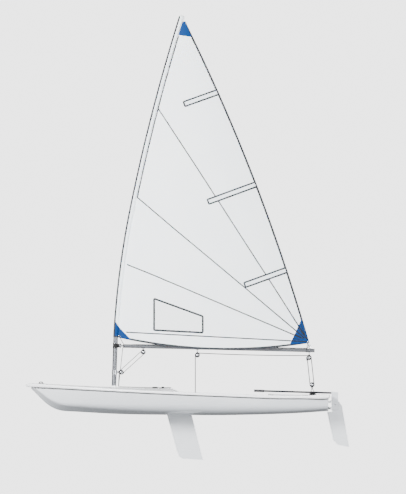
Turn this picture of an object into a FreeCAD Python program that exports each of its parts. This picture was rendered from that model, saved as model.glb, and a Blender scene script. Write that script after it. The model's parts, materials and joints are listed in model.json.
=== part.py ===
import FreeCAD, Part
import math
import os

V = FreeCAD.Vector
os.makedirs("parts", exist_ok=True)

# A single-handed sailing dinghy with one sail, afloat and rigged.
# Millimetres. +X is forward, +Y is to port, +Z is up. The origin is amidships
# on the centreline, at the waterline. The boat stands heading along +X.

# ---------------------------------------------------------------- hull and deck
GLUE = 0.6                 # bond line between the hull and the deck
BOND = 0.2                 # bond line round a tube or case that is glued in
HULL_RISE = 10             # how far the hull side would run on inside the deck
TRANSOM_X = -2095          # flat aft end of the hull
HALF_BEAM = 679            # half of the deck's greatest width, inside its rolled edge
# The tables are set out for this transom and this half beam, and stretched to those above.
DRAWN_TRANSOM_X = -2095
DRAWN_HALF = 679
DECK_LAND = 4              # how far the hull side stands inside the deck's edge
# One row per hull section, from the transom to the stem head.
HULL_COLUMNS = ("x", "keel", "sheer", "half", "deadrise", "flare", "bilge")
HULL = (
    (-2095, -26, 147, 521, 4.0, 22, 90),
    (-1850, -45, 144, 561, 3.8, 22.5, 115),
    (-1500, -64, 147, 608, 3.5, 23, 145),
    (-1000, -79, 162, 659, 3.5, 24, 180),
    (-300, -85, 190, 679, 4.0, 25, 200),
    (400, -78, 221, 629, 6.0, 25, 190),
    (1000, -61, 252, 512, 10.0, 24, 150),
    (1414, -37, 274, 380, 16.0, 21, 110),
    (1660, -12, 287, 278, 24.0, 17, 70),
    (1830, 81, 295, 194, 30.0, 13, 40),
    (1960, 206, 301, 118, 32.0, 10, 18),
    (2036, 282, 304, 50, 22.0, 6, 6),
)
# One row per deck section: roll is the radius of the rounded gunwale.
DECK_COLUMNS = ("x", "sheer", "half", "roll", "camber")
DECK = (
    (-2115, 160, 502, 16, 1),
    (-2108, 152, 513, 23, 1),
    (-2090, 147, 521, 27, 2),
    (-1850, 144, 561, 23, 3),
    (-1500, 147, 608, 19, 4),
    (-1000, 162, 659, 18, 4),
    (-300, 190, 679, 18, 4),
    (400, 221, 629, 18, 6),
    (1000, 252, 512, 19, 8),
    (1414, 274, 380, 21, 8),
    (1660, 287, 278, 23, 8),
    (1830, 295, 194, 25, 6),
    (1960, 301, 119, 27, 4),
    (2050, 305, 60, 26, 2),
    (2095, 311, 24, 20, 1),
    (2115, 322, 6, 8, 0.5),
)
# Crown of the foredeck and of the aft deck: rise is its height above the sheer.
CROWN_COLUMNS = ("x", "rise", "half")
FORE_CROWN = (
    (94, 81, 590),
    (636, 66, 530),
    (1081, 57, 450),
    (1637, 53, 252),
    (1980, 56, 70),
)
AFT_CROWN = (
    (-1254, 60, 475),
    (-1480, 58, 495),
    (-1900, 55, 420),
)
FORE_STEP_X = 84           # the foredeck's crown ends here, at the cockpit step
STEP_RUN = 112             # length of the slope down from the crown to the side decks
STEP_RISE = 40             # height of the slope's foot above the sheer
CROWN_SINK = 8             # how deep the crowned panels run into the deck

# ------------------------------------------------------------------ cockpit well
WELL_FRONT = -150
WELL_AFT = -1230
WELL_HALF = 255
WELL_NARROW = 40           # how much narrower each side is at the front
WELL_FLOOR = -28
WELL_RIM = 240             # height at which the well has its full size
WELL_DRAFT = 30            # how much each wall leans in from the rim to the floor
WELL_CORNER = 110
WELL_FOOT_R = 22           # rounding between the walls and the floor
WELL_RIM_R = 10            # rounding of the deck's edge round the well
SKIN = 5                   # laminate of the cockpit tub
WELL_LIP = (WELL_FRONT, 216, WELL_AFT, 176)   # the plane where tub and deck join

# -------------------------------------------------------------------------- mast
MAST_HEEL_Z = -42
MAST_DECK_X = 888          # centre of the mast where it meets the deck
MAST_DECK_Z = 310
MAST_RAKE = 2.0            # degrees aft, of the straight part
BEND_START_Z = 800
BEND_CHANGE_Z = 2750
BEND_LOW = 12000           # radius of the bend in the lower part
BEND_HIGH = 26500          # radius of the bend in the upper part
MAST_TOP_Z = 5455
LOWER_TOP_Z = 2290         # where the thinner upper section comes out of the lower
LOWER_OD = 63.5
UPPER_OD = 51.0
MAST_WALL = 3.0
OVERLAP = 285              # how far the upper section stands inside the lower
STEP_FIT = 0.06            # running clearance of the mast in its step
STEP_WALL = 4.0
STEP_LIP = 16              # how far the step tube stands above the deck
COLLAR_GAP = 0.3
MAST_PLUG = 9              # height of the cap on the mast's head

# -------------------------------------------------------------------------- boom
BOOM_OD = 51.0
BOOM_WALL = 2.5
BOOM_FRONT = (745, 877)
BOOM_END = (-1897, 814.5)
SADDLE = 5                 # plate under the boom that carries a block
BOOM_NOSE = 14             # length of the boom's nose plug
GOOSENECK_Z = 881
GOOSENECK_PIN_R = 5
GOOSENECK_TALL = 52
BAND_WALL = 3              # metal bands round the mast
REST = 0.3                 # gap between a fitting and the surface it is fastened to

# -------------------------------------------------------------------------- sail
TACK = (887, 1002)
CLEW = (-1831, 919)
HEAD = (-105, 5388)
LEECH_MID = (-1117, 3073)
FOOT_LOW = (-657, 824)
SLEEVE_ROOM = 3.25         # between the mast and the outside of its sleeve
SLEEVE_R = LOWER_OD / 2 + SLEEVE_ROOM
SLEEVE_WALL = 1.5
CLOTH = 3.0                # thickness that stands for the cloth
LAYER = 1.6                # thickness that stands for a patch or the window's film
POCKET = 4.0               # thickness of a batten in its pocket
POCKET_PANELS = 4          # faces along each pocket
SEW = 0.3                  # gap between cloth layers
# One row per height: depth of the camber and how far the leech falls off to port.
SAIL_COLUMNS = ("z", "depth", "fall")
SAIL = (
    (760, 128, 0),
    (1500, 180, 24),
    (2300, 172, 48),
    (3200, 128, 64),
    (4100, 78, 62),
    (4900, 34, 40),
    (5460, 6, 12),
)
BATTEN_W = 68
BATTENS = (
    ((-91, 4240), (-562, 4408)),
    ((-423, 2881), (-1096, 3127)),
    ((-932, 1725), (-1512, 1934)),
)
WINDOW = ((329, 1536), (329, 1098), (-348, 1063), (-348, 1290))
PATCHES = (
    ((-40, 5383), (-105, 5388), (-185, 5170), (-20, 5205)),
    ((860, 1252), (887, 1002), (637, 955), (700, 1150)),
    ((-1719, 1252), (-1840, 920), (-1556, 893), (-1600, 1080)),
)
CROSS = (-60, 360)         # y range that takes in the whole filled sail

# ------------------------------------------------------------------- rope blocks
# Each is at (x, z): the wheel's centre.
BLOCK_R = 35
VANG_R = 34
SHEET_R = 32
VANG_LOW = (788, 514)
VANG_HIGH = (480, 792)
MID_BLOCK = (-272, 751)
END_BLOCK = (-1827, 716)
TRAVELLER_BLOCK = (TRANSOM_X + 228, 338.5)
SHEET_BLOCK = (-269, 60)
WHEEL_IN = 8               # how much smaller a wheel is than its cheeks
WHEEL_HALF = 6             # half of a wheel's width
AXLE_R = 4
BLOCK_STEM = 14            # from a cheek's edge to what the block hangs on
OUTHAUL_X = -1836
EYE_MAJOR, EYE_MINOR = 22, 5

# --------------------------------------------------------------------- deck gear
BOW_EYE_X = 1902
BOW_EYE_HOLE = 8
BOW_EYE_THICK = 8
BOW_EYE_RISE = 14          # height of the hole above the deck
CLEAT_X, CLEAT_Y = 317, 48
CLEAT_HIGH = 18
CLEAT_TEETH = 7
LEAD_X = TRANSOM_X + 219
LEAD_INSET = 126.6667      # from the deck's edge to each fairlead
LEAD_LONG = 104
LEAD_HIGH, LEAD_HOLE = 32, 21
LEAD_SPREAD = 34           # each fairlead has a hole this far before and behind its middle
LINE_R = 3.0
KNOT_R = 4.0               # the splice at the traveller line's peak and its knots in the fairleads
TRAVELLER_PEAK = 287
STRAP_W, STRAP_T = 50, 4
STRAP_HIGH_Z = 94          # where the strap meets the aft wall
BUNG_Y, BUNG_Z = 160, 14
FOOT_SINK = 8              # a fitting starts this far down and is trimmed to the deck

# ------------------------------------------------------------------- daggerboard
BOARD_RAKE = 14.7          # degrees: the board slides along this line
BOARD_CHORD = 334          # across the rake, where it runs in its case
BOARD_THICK = 22
BOARD_LE_X = 147           # leading edge where it leaves the hull
BOARD_LE_Z = -90
BOARD_TIP_Z = -710
BOARD_TAPER = 10           # each edge comes in this much from hull to tip
BOARD_TIP_R = 85
CASE_GAP = 5               # running room round the board
CASE_WALL = 5
CASE_TOP = 292             # the case's top on the foredeck, and behind the step
CASE_LOW_TOP = 240
CAP_HIGH = 12              # the cap on the board's head, which rests on the case
BOARD_NOSE, BOARD_TAIL = 24, 90   # length of the board's round nose and its taper

# ------------------------------------------------------------------------ rudder
PINTLE_X = TRANSOM_X - 28
PINTLE_R = 4.0
PINTLE_FIT = 0.05
PINTLE_Z = (98, 8)         # upper and lower gudgeon
GUDGEON_H = 22
HEAD_FRONT_X = PINTLE_X - 13
HEAD_AFT_X = PINTLE_X - 107
HEAD_TOP_Z = 240
HEAD_BOTTOM_Z = -20
HEAD_PLATE = 3.0
BLADE_THICK = 20
BLADE_GAP = 1.5            # between the blade and each cheek
BLADE_PIVOT = (PINTLE_X - 71, 62)
BLADE_EDGE = (PINTLE_X + 68, 62)  # on the line of the leading edge, at the pivot's height
BLADE_SLOPE = (84, 391)    # run and rise of the leading edge
BLADE_BOLT_R = 5.0
FOIL_TIP = 0.55            # radius of a foil's nose, as a share of half its thickness
FOIL_EDGE = 0.2            # thickness of its trailing edge, as a share of the whole
BLADE_CHORD = (226, 197)   # across the blade, above its pivot and beyond its tip
BLADE_NOSE, BLADE_TAIL = 22, 90   # length of the blade's round nose and its taper
TILLER_OD = 26
TILLER_WALL = 2
TILLER_SEAT = 0.3
TILLER_AFT = (PINTLE_X - 99, 222)
TILLER_FORE = (-1063, 256)
GRIP_LONG = 140
GRIP_R = 17.5
EXT_R = 9
EXT_LONG = 880


# ----------------------------------------------------------------------- helpers
def rows(columns, table):
    return [dict(zip(columns, row)) for row in table]


def unit(a, b):
    return (b - a).normalize()


def rounded(points):
    """A closed wire through the points; each is (V, radius) and its corner is an arc."""
    edges = []
    count = len(points)
    ends = []
    for i, (p, r) in enumerate(points):
        to_last = unit(p, points[i - 1][0])
        to_next = unit(p, points[(i + 1) % count][0])
        if r <= 0:
            ends.append((p, p))
            continue
        half = to_last.getAngle(to_next) / 2
        run = r / math.tan(half)
        middle = (to_last + to_next).normalize()
        centre = p + middle * (r / math.sin(half))
        a = p + to_last * run
        b = p + to_next * run
        edges.append(Part.Arc(a, centre - middle * r, b).toShape())
        ends.append((a, b))
    for i in range(count):
        a, b = ends[i][1], ends[(i + 1) % count][0]
        if a.distanceToPoint(b) > 1e-6:
            edges.append(Part.makeLine(a, b))
    return Part.Wire(Part.__sortEdges__(edges))


def side_plate(points, y0, y1):
    """An outline of (x, z, corner radius) seen from the side, from y0 to y1."""
    wire = rounded([(V(x, y0, z), r) for x, z, r in points])
    return Part.Face(wire).extrude(V(0, y1 - y0, 0))


def rod(a, b, radius):
    return Part.makeCylinder(radius, a.distanceToPoint(b), a, b - a)


def pipe(a, b, outer, inner):
    return rod(a, b, outer).cut(rod(a, b, inner))


def loft(wires, ruled=False):
    solid = Part.makeLoft(wires, True, ruled)
    if solid.Volume < 0:
        solid.reverse()
    return solid


def save(name, *solids):
    shape = solids[0] if len(solids) == 1 else Part.makeCompound(solids)
    bad = [s for s in shape.Solids if not s.isValid()]
    print(name, len(shape.Solids), "solids", round(shape.Volume / 1e3), "cm3", "BAD" if bad else "")
    shape.exportStep(f"parts/{name}.step")


# ------------------------------------------------------------------ hull and deck
def hull_section(row):
    """V bottom, bilge arc and flared side, on both sides of the keel."""
    x, keel, top = row["x"], row["keel"], row["sheer"] + HULL_RISE
    half = row["half"] - DECK_LAND
    d, f = math.radians(row["deadrise"]), math.radians(row["flare"])
    y = (half - (top - keel) * math.tan(f)) / (1 - math.tan(d) * math.tan(f))
    z = keel + y * math.tan(d)
    turn = math.pi / 2 - d - f
    run = row["bilge"] * math.tan(turn / 2)
    a = V(x, y - run * math.cos(d), z - run * math.sin(d))
    b = V(x, y + run * math.sin(f), z + run * math.cos(f))
    centre = a + V(0, -math.sin(d), math.cos(d)) * row["bilge"]
    middle = centre + unit(centre, V(x, y, z)) * row["bilge"]
    edges = []
    port = [V(x, 0, keel), a, middle, b, V(x, half, top)]
    starboard = [V(p.x, -p.y, p.z) for p in port]
    edges.append(Part.makeLine(port[0], port[1]))
    edges.append(Part.Arc(port[1], port[2], port[3]).toShape())
    edges.append(Part.makeLine(port[3], port[4]))
    edges.append(Part.makeLine(port[4], starboard[4]))
    edges.append(Part.makeLine(starboard[4], starboard[3]))
    edges.append(Part.Arc(starboard[3], starboard[2], starboard[1]).toShape())
    edges.append(Part.makeLine(starboard[1], starboard[0]))
    return Part.Wire(edges)


def deck_section(row):
    """Flat underside, a rounded gunwale each side and a cambered top."""
    x, low, half, roll = row["x"], row["sheer"], row["half"], row["roll"]
    top = low + 2 * roll
    edges = [
        Part.makeLine(V(x, -half, low), V(x, half, low)),
        Part.Arc(V(x, half, low), V(x, half + roll, low + roll), V(x, half, top)).toShape(),
        Part.Arc(V(x, half, top), V(x, 0, top + row["camber"]), V(x, -half, top)).toShape(),
        Part.Arc(V(x, -half, top), V(x, -half - roll, low + roll), V(x, -half, low)).toShape(),
    ]
    return Part.Wire(edges)


def stretched(columns, table):
    """Rows of a table, with its lengths aft of amidships and its widths made to measure."""
    made = rows(columns, table)
    for row in made:
        row["x"] *= TRANSOM_X / DRAWN_TRANSOM_X if row["x"] < 0 else 1
        row["half"] *= HALF_BEAM / DRAWN_HALF
    return made


def soften(solid, radius, *centres):
    """Round the circular edges whose centres are given."""
    edges = [e for e in solid.Edges if any(e.CenterOfMass.distanceToPoint(c) < 0.1 for c in centres)]
    return solid.makeFillet(radius, edges)


def deck_at(x, column):
    """A value of the deck's table at x, in a straight line between its rows."""
    table = stretched(DECK_COLUMNS, DECK)
    for a, b in zip(table, table[1:]):
        if a["x"] <= x <= b["x"]:
            return a[column] + (b[column] - a[column]) * (x - a["x"]) / (b["x"] - a["x"])
    return table[-1][column]


def crown_section(row):
    """A lens that stands on the deck: flat below, one arc above."""
    x, half = row["x"], row["half"]
    edge = deck_at(x, "sheer") + 2 * deck_at(x, "roll") - CROWN_SINK
    top = max(deck_at(x, "sheer") + row["rise"], edge + CROWN_SINK + 1)
    return Part.Wire([
        Part.makeLine(V(x, half, edge), V(x, -half, edge)),
        Part.Arc(V(x, -half, edge), V(x, 0, top), V(x, half, edge)).toShape(),
    ])


def well(inset, floor, top, foot=0):
    """The cockpit's hollow, grown inwards by inset: a loft of two rounded outlines, with
    its floor's edge rounded by foot."""
    def outline(z):
        lean = WELL_DRAFT * (WELL_RIM - z) / WELL_RIM
        half = WELL_HALF - inset - lean
        front, aft = WELL_FRONT - inset - lean, WELL_AFT + inset + lean
        corner = WELL_CORNER - inset
        return rounded([
            (V(front, half - WELL_NARROW, z), corner), (V(front, -half + WELL_NARROW, z), corner),
            (V(aft, -half, z), corner), (V(aft, half, z), corner),
        ])
    hollow = loft([outline(floor), outline(top)], True)
    if foot:
        edges = [e for e in hollow.Edges if e.BoundBox.ZMax < floor + 1]
        hollow = hollow.makeFillet(foot, edges)
    return hollow


def lip_z(x):
    """Height of the sloping plane where the tub meets the deck."""
    x0, z0, x1, z1 = WELL_LIP
    return z0 + (z1 - z0) * (x - x0) / (x1 - x0)


def board_axis():
    a = math.radians(BOARD_RAKE)
    return V(math.sin(a), 0, math.cos(a))


def foil_section(at, fore, front, back, thick, nose, tail):
    """A foil's section at a point, along the unit vector fore: a round nose that runs into
    the flat sides through an arc on each, and a taper to a thin trailing edge."""
    t = thick / 2
    tip = FOIL_TIP * t
    join = (front - tip / 2, tip * math.sin(math.pi / 3))
    run, drop = join[0] - (front - nose), t - join[1]
    radius = (run ** 2 + drop ** 2) / (2 * drop)
    half = math.atan2(drop, run)
    flank = (front - nose + radius * math.sin(half), t - radius * (1 - math.cos(half)))

    def p(along, across, side=1):
        return at + fore * along + V(0, side * across, 0)
    edges = [Part.Arc(p(*join, 1), p(front, 0), p(*join, -1)).toShape()]
    for side in (1, -1):
        edges.append(Part.Arc(p(*join, side), p(*flank, side), p(front - nose, t, side)).toShape())
        edges.append(Part.makeLine(p(front - nose, t, side), p(back + tail, t, side)))
        edges.append(Part.makeLine(p(back + tail, t, side), p(back, t * FOIL_EDGE, side)))
    edges.append(Part.makeLine(p(back, t * FOIL_EDGE, 1), p(back, t * FOIL_EDGE, -1)))
    return Part.Wire(Part.__sortEdges__(edges))


def board_origin():
    """A point on the leading edge, where the board leaves the hull."""
    return V(BOARD_LE_X, 0, BOARD_LE_Z)


def case_box(grow, low, high):
    """A flat box along the board's rake: its hollow, grown by grow, between two heights."""
    up = board_axis()
    fore = V(up.z, 0, -up.x)
    start = board_origin() + fore * grow
    a = start + up * ((low - start.z) / up.z)
    b = start + up * ((high - start.z) / up.z)
    chord = BOARD_CHORD + 2 * grow
    half = BOARD_THICK / 2 + grow
    ring = [a, b, b - fore * chord, a - fore * chord]
    face = Part.Face(Part.makePolygon([V(p.x, -half, p.z) for p in ring + ring[:1]]))
    return face.extrude(V(0, 2 * half, 0))


# -------------------------------------------------------------------------- mast
def rake_vector():
    a = math.radians(MAST_RAKE)
    return V(-math.sin(a), 0, math.cos(a))


def straight_x(z):
    return MAST_DECK_X - (z - MAST_DECK_Z) * math.tan(math.radians(MAST_RAKE))


def bend_centres():
    rake = math.radians(MAST_RAKE)
    low = V(straight_x(BEND_START_Z) - BEND_LOW * math.cos(rake), 0,
            BEND_START_Z - BEND_LOW * math.sin(rake))
    turn = math.asin((BEND_CHANGE_Z - low.z) / BEND_LOW)
    change = V(low.x + BEND_LOW * math.cos(turn), 0, BEND_CHANGE_Z)
    high = change - V(math.cos(turn), 0, math.sin(turn)) * BEND_HIGH
    return low, high


def mast_at(z):
    """Centre of the mast and its lean in radians, at height z."""
    if z <= BEND_START_Z:
        return V(straight_x(z), 0, z), math.radians(MAST_RAKE)
    low, high = bend_centres()
    centre, radius = (low, BEND_LOW) if z <= BEND_CHANGE_Z else (high, BEND_HIGH)
    turn = math.asin((z - centre.z) / radius)
    return V(centre.x + radius * math.cos(turn), 0, z), turn


def mast_path(z0, z1):
    """Edges of the mast's centreline: straight below, two arcs above."""
    stops = [z0] + [z for z in (BEND_START_Z, BEND_CHANGE_Z) if z0 < z < z1] + [z1]
    edges = []
    for a, b in zip(stops, stops[1:]):
        pa, pb = mast_at(a)[0], mast_at(b)[0]
        if b <= BEND_START_Z:
            edges.append(Part.makeLine(pa, pb))
        else:
            edges.append(Part.Arc(pa, mast_at((a + b) / 2)[0], pb).toShape())
    return edges


def mast_sweep(z0, z1, radius):
    start, turn = mast_at(z0)
    ring = Part.Wire(Part.makeCircle(radius, start, V(-math.sin(turn), 0, math.cos(turn))))
    return Part.Wire(mast_path(z0, z1)).makePipeShell([ring], True, True)


def mast_ring(z, height, outer, inner):
    """A straight ring round the mast, centred on height z."""
    at, turn = mast_at(z)
    along = V(-math.sin(turn), 0, math.cos(turn)) * (height / 2)
    return pipe(at - along, at + along, outer, inner)


# -------------------------------------------------------------------------- sail
def leech_x(z):
    """The leech is one arc through head, middle and clew."""
    arc = Part.Arc(*[V(x, 0, z) for x, z in (HEAD, LEECH_MID, CLEW)]).toShape().Curve
    centre, radius = arc.Center, arc.Radius
    side = 1 if HEAD[0] > centre.x else -1
    return centre.x + side * math.sqrt(max(radius ** 2 - (z - centre.z) ** 2, 0))


def cloth(offset, thick, reach=60):
    """The sail's curved sheet: arcs between mast and leech, moved to port by offset."""
    wires = []
    for row in rows(SAIL_COLUMNS, SAIL):
        z = row["z"]
        luff = mast_at(z)[0].x
        leech = leech_x(z) - reach
        middle = (luff + leech) / 2
        ys = (offset - thick / 2, offset + thick / 2)
        a, b = [Part.Arc(V(luff, y, z), V(middle, y + row["fall"] / 2 + row["depth"], z),
                         V(leech, y + row["fall"], z)).toShape() for y in ys]
        ends = [
            Part.makeLine(V(leech, ys[0] + row["fall"], z), V(leech, ys[1] + row["fall"], z)),
            Part.makeLine(V(luff, ys[1], z), V(luff, ys[0], z)),
        ]
        wires.append(Part.Wire(Part.__sortEdges__([a, ends[0], b, ends[1]])))
    return loft(wires)


def across(wire):
    """A flat wire in the centre plane, as a prism through the whole filled sail."""
    wire.translate(V(0, CROSS[0], 0))
    return Part.Face(wire).extrude(V(0, CROSS[1] - CROSS[0], 0))


def sail_outline():
    """The sail from the side: leech and foot arcs, and the mast as its luff."""
    head, middle, clew, foot = [V(x, 0, z) for x, z in (HEAD, LEECH_MID, CLEW, FOOT_LOW)]
    edges = mast_path(TACK[1], HEAD[1])
    edges.append(Part.makeLine(mast_at(HEAD[1])[0], head))
    edges.append(Part.Arc(head, middle, clew).toShape())
    edges.append(Part.Arc(clew, foot, mast_at(TACK[1])[0]).toShape())
    return across(Part.Wire(Part.__sortEdges__(edges)))


def prism(points):
    """A flat outline of (x, z) points, as a prism across the sail."""
    return across(Part.makePolygon([V(x, 0, z) for x, z in list(points) + [points[0]]]))


def strip(a, b, width):
    """A straight band from a to b, across the sail."""
    pa, pb = V(a[0], 0, a[1]), V(b[0], 0, b[1])
    along = unit(pa, pb)
    aside = V(-along.z, 0, along.x) * (width / 2)
    return prism([(p.x, p.z) for p in (pa + aside, pb + aside, pb - aside, pa - aside)])


# ---------------------------------------------------------------------- fittings
def boom_at(x):
    (x0, z0), (x1, z1) = BOOM_FRONT, BOOM_END
    return V(x, 0, z0 + (z1 - z0) * (x - x0) / (x1 - x0))


def turned(profile, centre=V(0, 0, 0)):
    """A closed profile of (radius, y) points, turned about the line along Y through centre."""
    wire = Part.makePolygon([centre + V(r, y, 0) for r, y in profile + profile[:1]])
    return Part.Face(wire).revolve(centre, V(0, 1, 0), 360)


def wheel(radius):
    """A block's wheel: bored for its axle, with a rope groove round its rim."""
    h = WHEEL_HALF
    return turned([
        (AXLE_R + 0.3, -h), (radius - 11, -h), (radius - 9, 1.2 - h), (radius - 6, 1.2 - h), (radius - 5, -h),
        (radius, -h), (radius, -4.4), (radius - 2.6, -3.6), (radius - 4.2, -1.7),
        (radius - 4.2, 1.7), (radius - 2.6, 3.6), (radius, 4.4), (radius, h),
        (radius - 5, h), (radius - 6, h - 1.2), (radius - 9, h - 1.2), (radius - 11, h), (AXLE_R + 0.3, h),
    ])


def block_frame(radius, stem):
    """A block's cheeks with raised hubs, on two arms that meet in a head above the wheel."""
    in_y = WHEEL_HALF + 0.5
    cheek = turned([
        (0, in_y), (radius - 1, in_y), (radius, in_y + 1), (radius, in_y + 2),
        (radius - 5, in_y + 3.4), (16, in_y + 3.4), (14, in_y + 5), (0, in_y + 5),
    ])
    pieces = [cheek.mirror(V(0, 0, 0), V(0, 1, 0))]
    for side in (-1, 1):
        y0, y1 = sorted((side * in_y, side * (in_y + 3)))
        pieces.append(side_plate([(-radius + 4, 6, 0), (-10, radius + 8, 5), (10, radius + 8, 5),
                                  (radius - 4, 6, 0)], y0, y1))
    top = in_y + 3
    pieces.append(side_plate([(-9, radius + 1, 0), (-9, radius + 8, 4), (9, radius + 8, 4), (9, radius + 1, 0)],
                             -top, top))
    pieces.append(rod(V(0, -in_y - 1, 0), V(0, in_y + 1, 0), AXLE_R))
    pieces.append(rod(V(0, 0, radius + 2), V(0, 0, radius + stem), 4.5))
    return cheek.fuse(pieces)


def sheave_block(place, radius, to, stem):
    """A rope block at place (x, z) whose head points towards another (x, z)."""
    turn = math.degrees(math.atan2(to[0] - place[0], to[1] - place[1]))
    solids = [block_frame(radius, stem), wheel(radius - WHEEL_IN)]
    for solid in solids:
        solid.rotate(V(0, 0, 0), V(0, 1, 0), turn)
        solid.translate(V(place[0], 0, place[1]))
    return solids


def fore_of(place):
    return (place[0] + 100, place[1])


def under(place):
    return (place[0], place[1] - 100)


def boom_saddle(x, long, wide):
    """A small plate under the boom, hollowed to fit the tube, with rounded ends."""
    low = boom_at(x).z - BOOM_OD / 2
    plate = side_plate([(x - long / 2, low + 8, 0), (x - long / 2, low - SADDLE, 4),
                        (x + long / 2, low - SADDLE, 4), (x + long / 2, low + 8, 0)], -wide / 2, wide / 2)
    return plate.cut(rod(boom_at(BOOM_FRONT[0]), boom_at(BOOM_END[0]), BOOM_OD / 2 + REST))


def hung_block(place, radius):
    """A block whose stem reaches up to its saddle under the boom."""
    stem = boom_at(place[0]).z - BOOM_OD / 2 - SADDLE - REST - place[1] - radius
    return sheave_block(place, radius, (place[0], place[1] + 100), stem)


# ------------------------------------------------------------------- build: hull
hull = loft([hull_section(r) for r in stretched(HULL_COLUMNS, HULL)])
deck = loft([deck_section(r) for r in stretched(DECK_COLUMNS, DECK)])
fore_rows = stretched(CROWN_COLUMNS, FORE_CROWN)
step_x, step_rise, step_half = FORE_CROWN[0]
step_rows = stretched(CROWN_COLUMNS, (FORE_CROWN[0], (step_x - STEP_RUN, STEP_RISE, step_half)))
fore = loft([crown_section(r) for r in fore_rows])
step = loft([crown_section(r) for r in step_rows], True)
aft = loft([crown_section(r) for r in stretched(CROWN_COLUMNS, AFT_CROWN)])
deck = deck.fuse([fore, step, aft])
under_deck = deck.copy()
under_deck.translate(V(0, 0, -GLUE))
hull = hull.cut(under_deck)

# The tub is a skin round the well; above the lip's plane the deck itself is the wall.
ends = (400, -1600)
above = side_plate([(ends[0], lip_z(ends[0]), 0), (ends[1], lip_z(ends[1]), 0),
                    (ends[1], 600, 0), (ends[0], 600, 0)], -600, 600)
tub = well(0, WELL_FLOOR - SKIN, 330, WELL_FOOT_R + SKIN).cut(above)
deck = deck.fuse(tub).cut(well(SKIN, WELL_FLOOR, 330, WELL_FOOT_R))
hull = hull.cut(well(-BOND, WELL_FLOOR - SKIN - BOND, 330))


def on_rim(edge):
    """True for the edges where the well's walls meet the deck's upper surface."""
    middle, box = edge.CenterOfMass, edge.BoundBox
    inside = box.XMax < WELL_FRONT and box.XMin > WELL_AFT and abs(middle.y) < WELL_HALF
    return inside and middle.z > lip_z(middle.x) + 8


deck = deck.makeFillet(WELL_RIM_R, [edge for edge in deck.Edges if on_rim(edge)])

# The step tube and the daggerboard case tie the deck to the bottom.
step_low, step_high = mast_at(MAST_HEEL_Z - 6)[0], mast_at(420)[0]
step_bore = LOWER_OD / 2 + STEP_FIT
step_room = rod(step_low, step_high, step_bore + STEP_WALL + BOND)
case_room = case_box(CASE_GAP + CASE_WALL + BOND, -320, 440)
hull = hull.cut(step_room).cut(case_room)
deck = deck.cut(step_room).cut(case_room)
save("hull_shell", hull)
save("deck_moulding", deck)

step_tube = rod(step_low, mast_at(MAST_DECK_Z + STEP_LIP)[0], step_bore + STEP_WALL)
flange = rod(mast_at(MAST_DECK_Z + 11)[0], mast_at(MAST_DECK_Z + STEP_LIP)[0], step_bore + 2 * STEP_WALL)
bore = rod(mast_at(MAST_HEEL_Z - 0.3)[0], step_high, step_bore)
save("mast_step_tube", step_tube.fuse(flange).removeSplitter().cut(bore))

case = case_box(CASE_GAP + CASE_WALL, -300, 420).cut(case_box(CASE_GAP, -340, 480))
keel_trim = Part.makeBox(900, 200, 600, V(-400, -100, BOARD_LE_Z + 16 - 600))
fore_trim = Part.makeBox(600, 200, 400, V(FORE_STEP_X, -100, CASE_TOP))
aft_trim = Part.makeBox(600, 200, 400, V(FORE_STEP_X - 600, -100, CASE_LOW_TOP))
save("daggerboard_case", case.cut(keel_trim).cut(fore_trim).cut(aft_trim))

# -------------------------------------------------------------- build: the board
up = board_axis()
fore_way = V(up.z, 0, -up.x)
edge_at = board_origin()


def on_edge(z):
    return edge_at + up * ((z - edge_at.z) / up.z)


def board_part(z, inset, thick):
    return foil_section(on_edge(z), fore_way, -inset, inset - BOARD_CHORD, thick, BOARD_NOSE, BOARD_TAIL)


board = loft([board_part(330, 0, BOARD_THICK), board_part(-60, 0, BOARD_THICK)], True)
board_low = loft([board_part(-60, 0, BOARD_THICK),
                  board_part(BOARD_TIP_Z - 120, BOARD_TAPER, BOARD_THICK - 4)], True)
trim = side_plate([
    (500, CASE_TOP, 0), (FORE_STEP_X + 6, CASE_TOP, 0), (-20, CASE_LOW_TOP, 30), (-300, CASE_LOW_TOP, 0),
    (-560, -703, 0), (-340, -708, 8), (-25, -686, BOARD_TIP_R), (6, -590, 0), (500, -590, 0),
], -60, 60)
save("daggerboard", board.fuse(board_low).removeSplitter().common(trim))
cap_half = BOARD_THICK / 2 + CASE_GAP + CASE_WALL
cap_front = on_edge(CASE_TOP).x
save("daggerboard_cap", side_plate([
    (cap_front, CASE_TOP + REST, 0), (cap_front - 4, CASE_TOP + CAP_HIGH, 8),
    (FORE_STEP_X + 8, CASE_TOP + CAP_HIGH, 8), (FORE_STEP_X + 4, CASE_TOP + REST, 0),
], -cap_half, cap_half))

# ------------------------------------------------------------ build: mast, boom
save("mast_lower", mast_sweep(MAST_HEEL_Z, LOWER_TOP_Z, LOWER_OD / 2).cut(
    mast_sweep(MAST_HEEL_Z, LOWER_TOP_Z, LOWER_OD / 2 - MAST_WALL)))
upper_low = LOWER_TOP_Z - OVERLAP
save("mast_upper", mast_sweep(upper_low, MAST_TOP_Z, UPPER_OD / 2).cut(
    mast_sweep(upper_low, MAST_TOP_Z, UPPER_OD / 2 - MAST_WALL)))
collar_out, collar_in = LOWER_OD / 2 - MAST_WALL - COLLAR_GAP, UPPER_OD / 2 + COLLAR_GAP
collars = [mast_ring(z, 24, collar_out, collar_in) for z in (upper_low + 16, LOWER_TOP_Z - 30)]
collars.append(mast_ring(LOWER_TOP_Z + 7, 12, LOWER_OD / 2, collar_in))
save("mast_collars", *collars)

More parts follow.
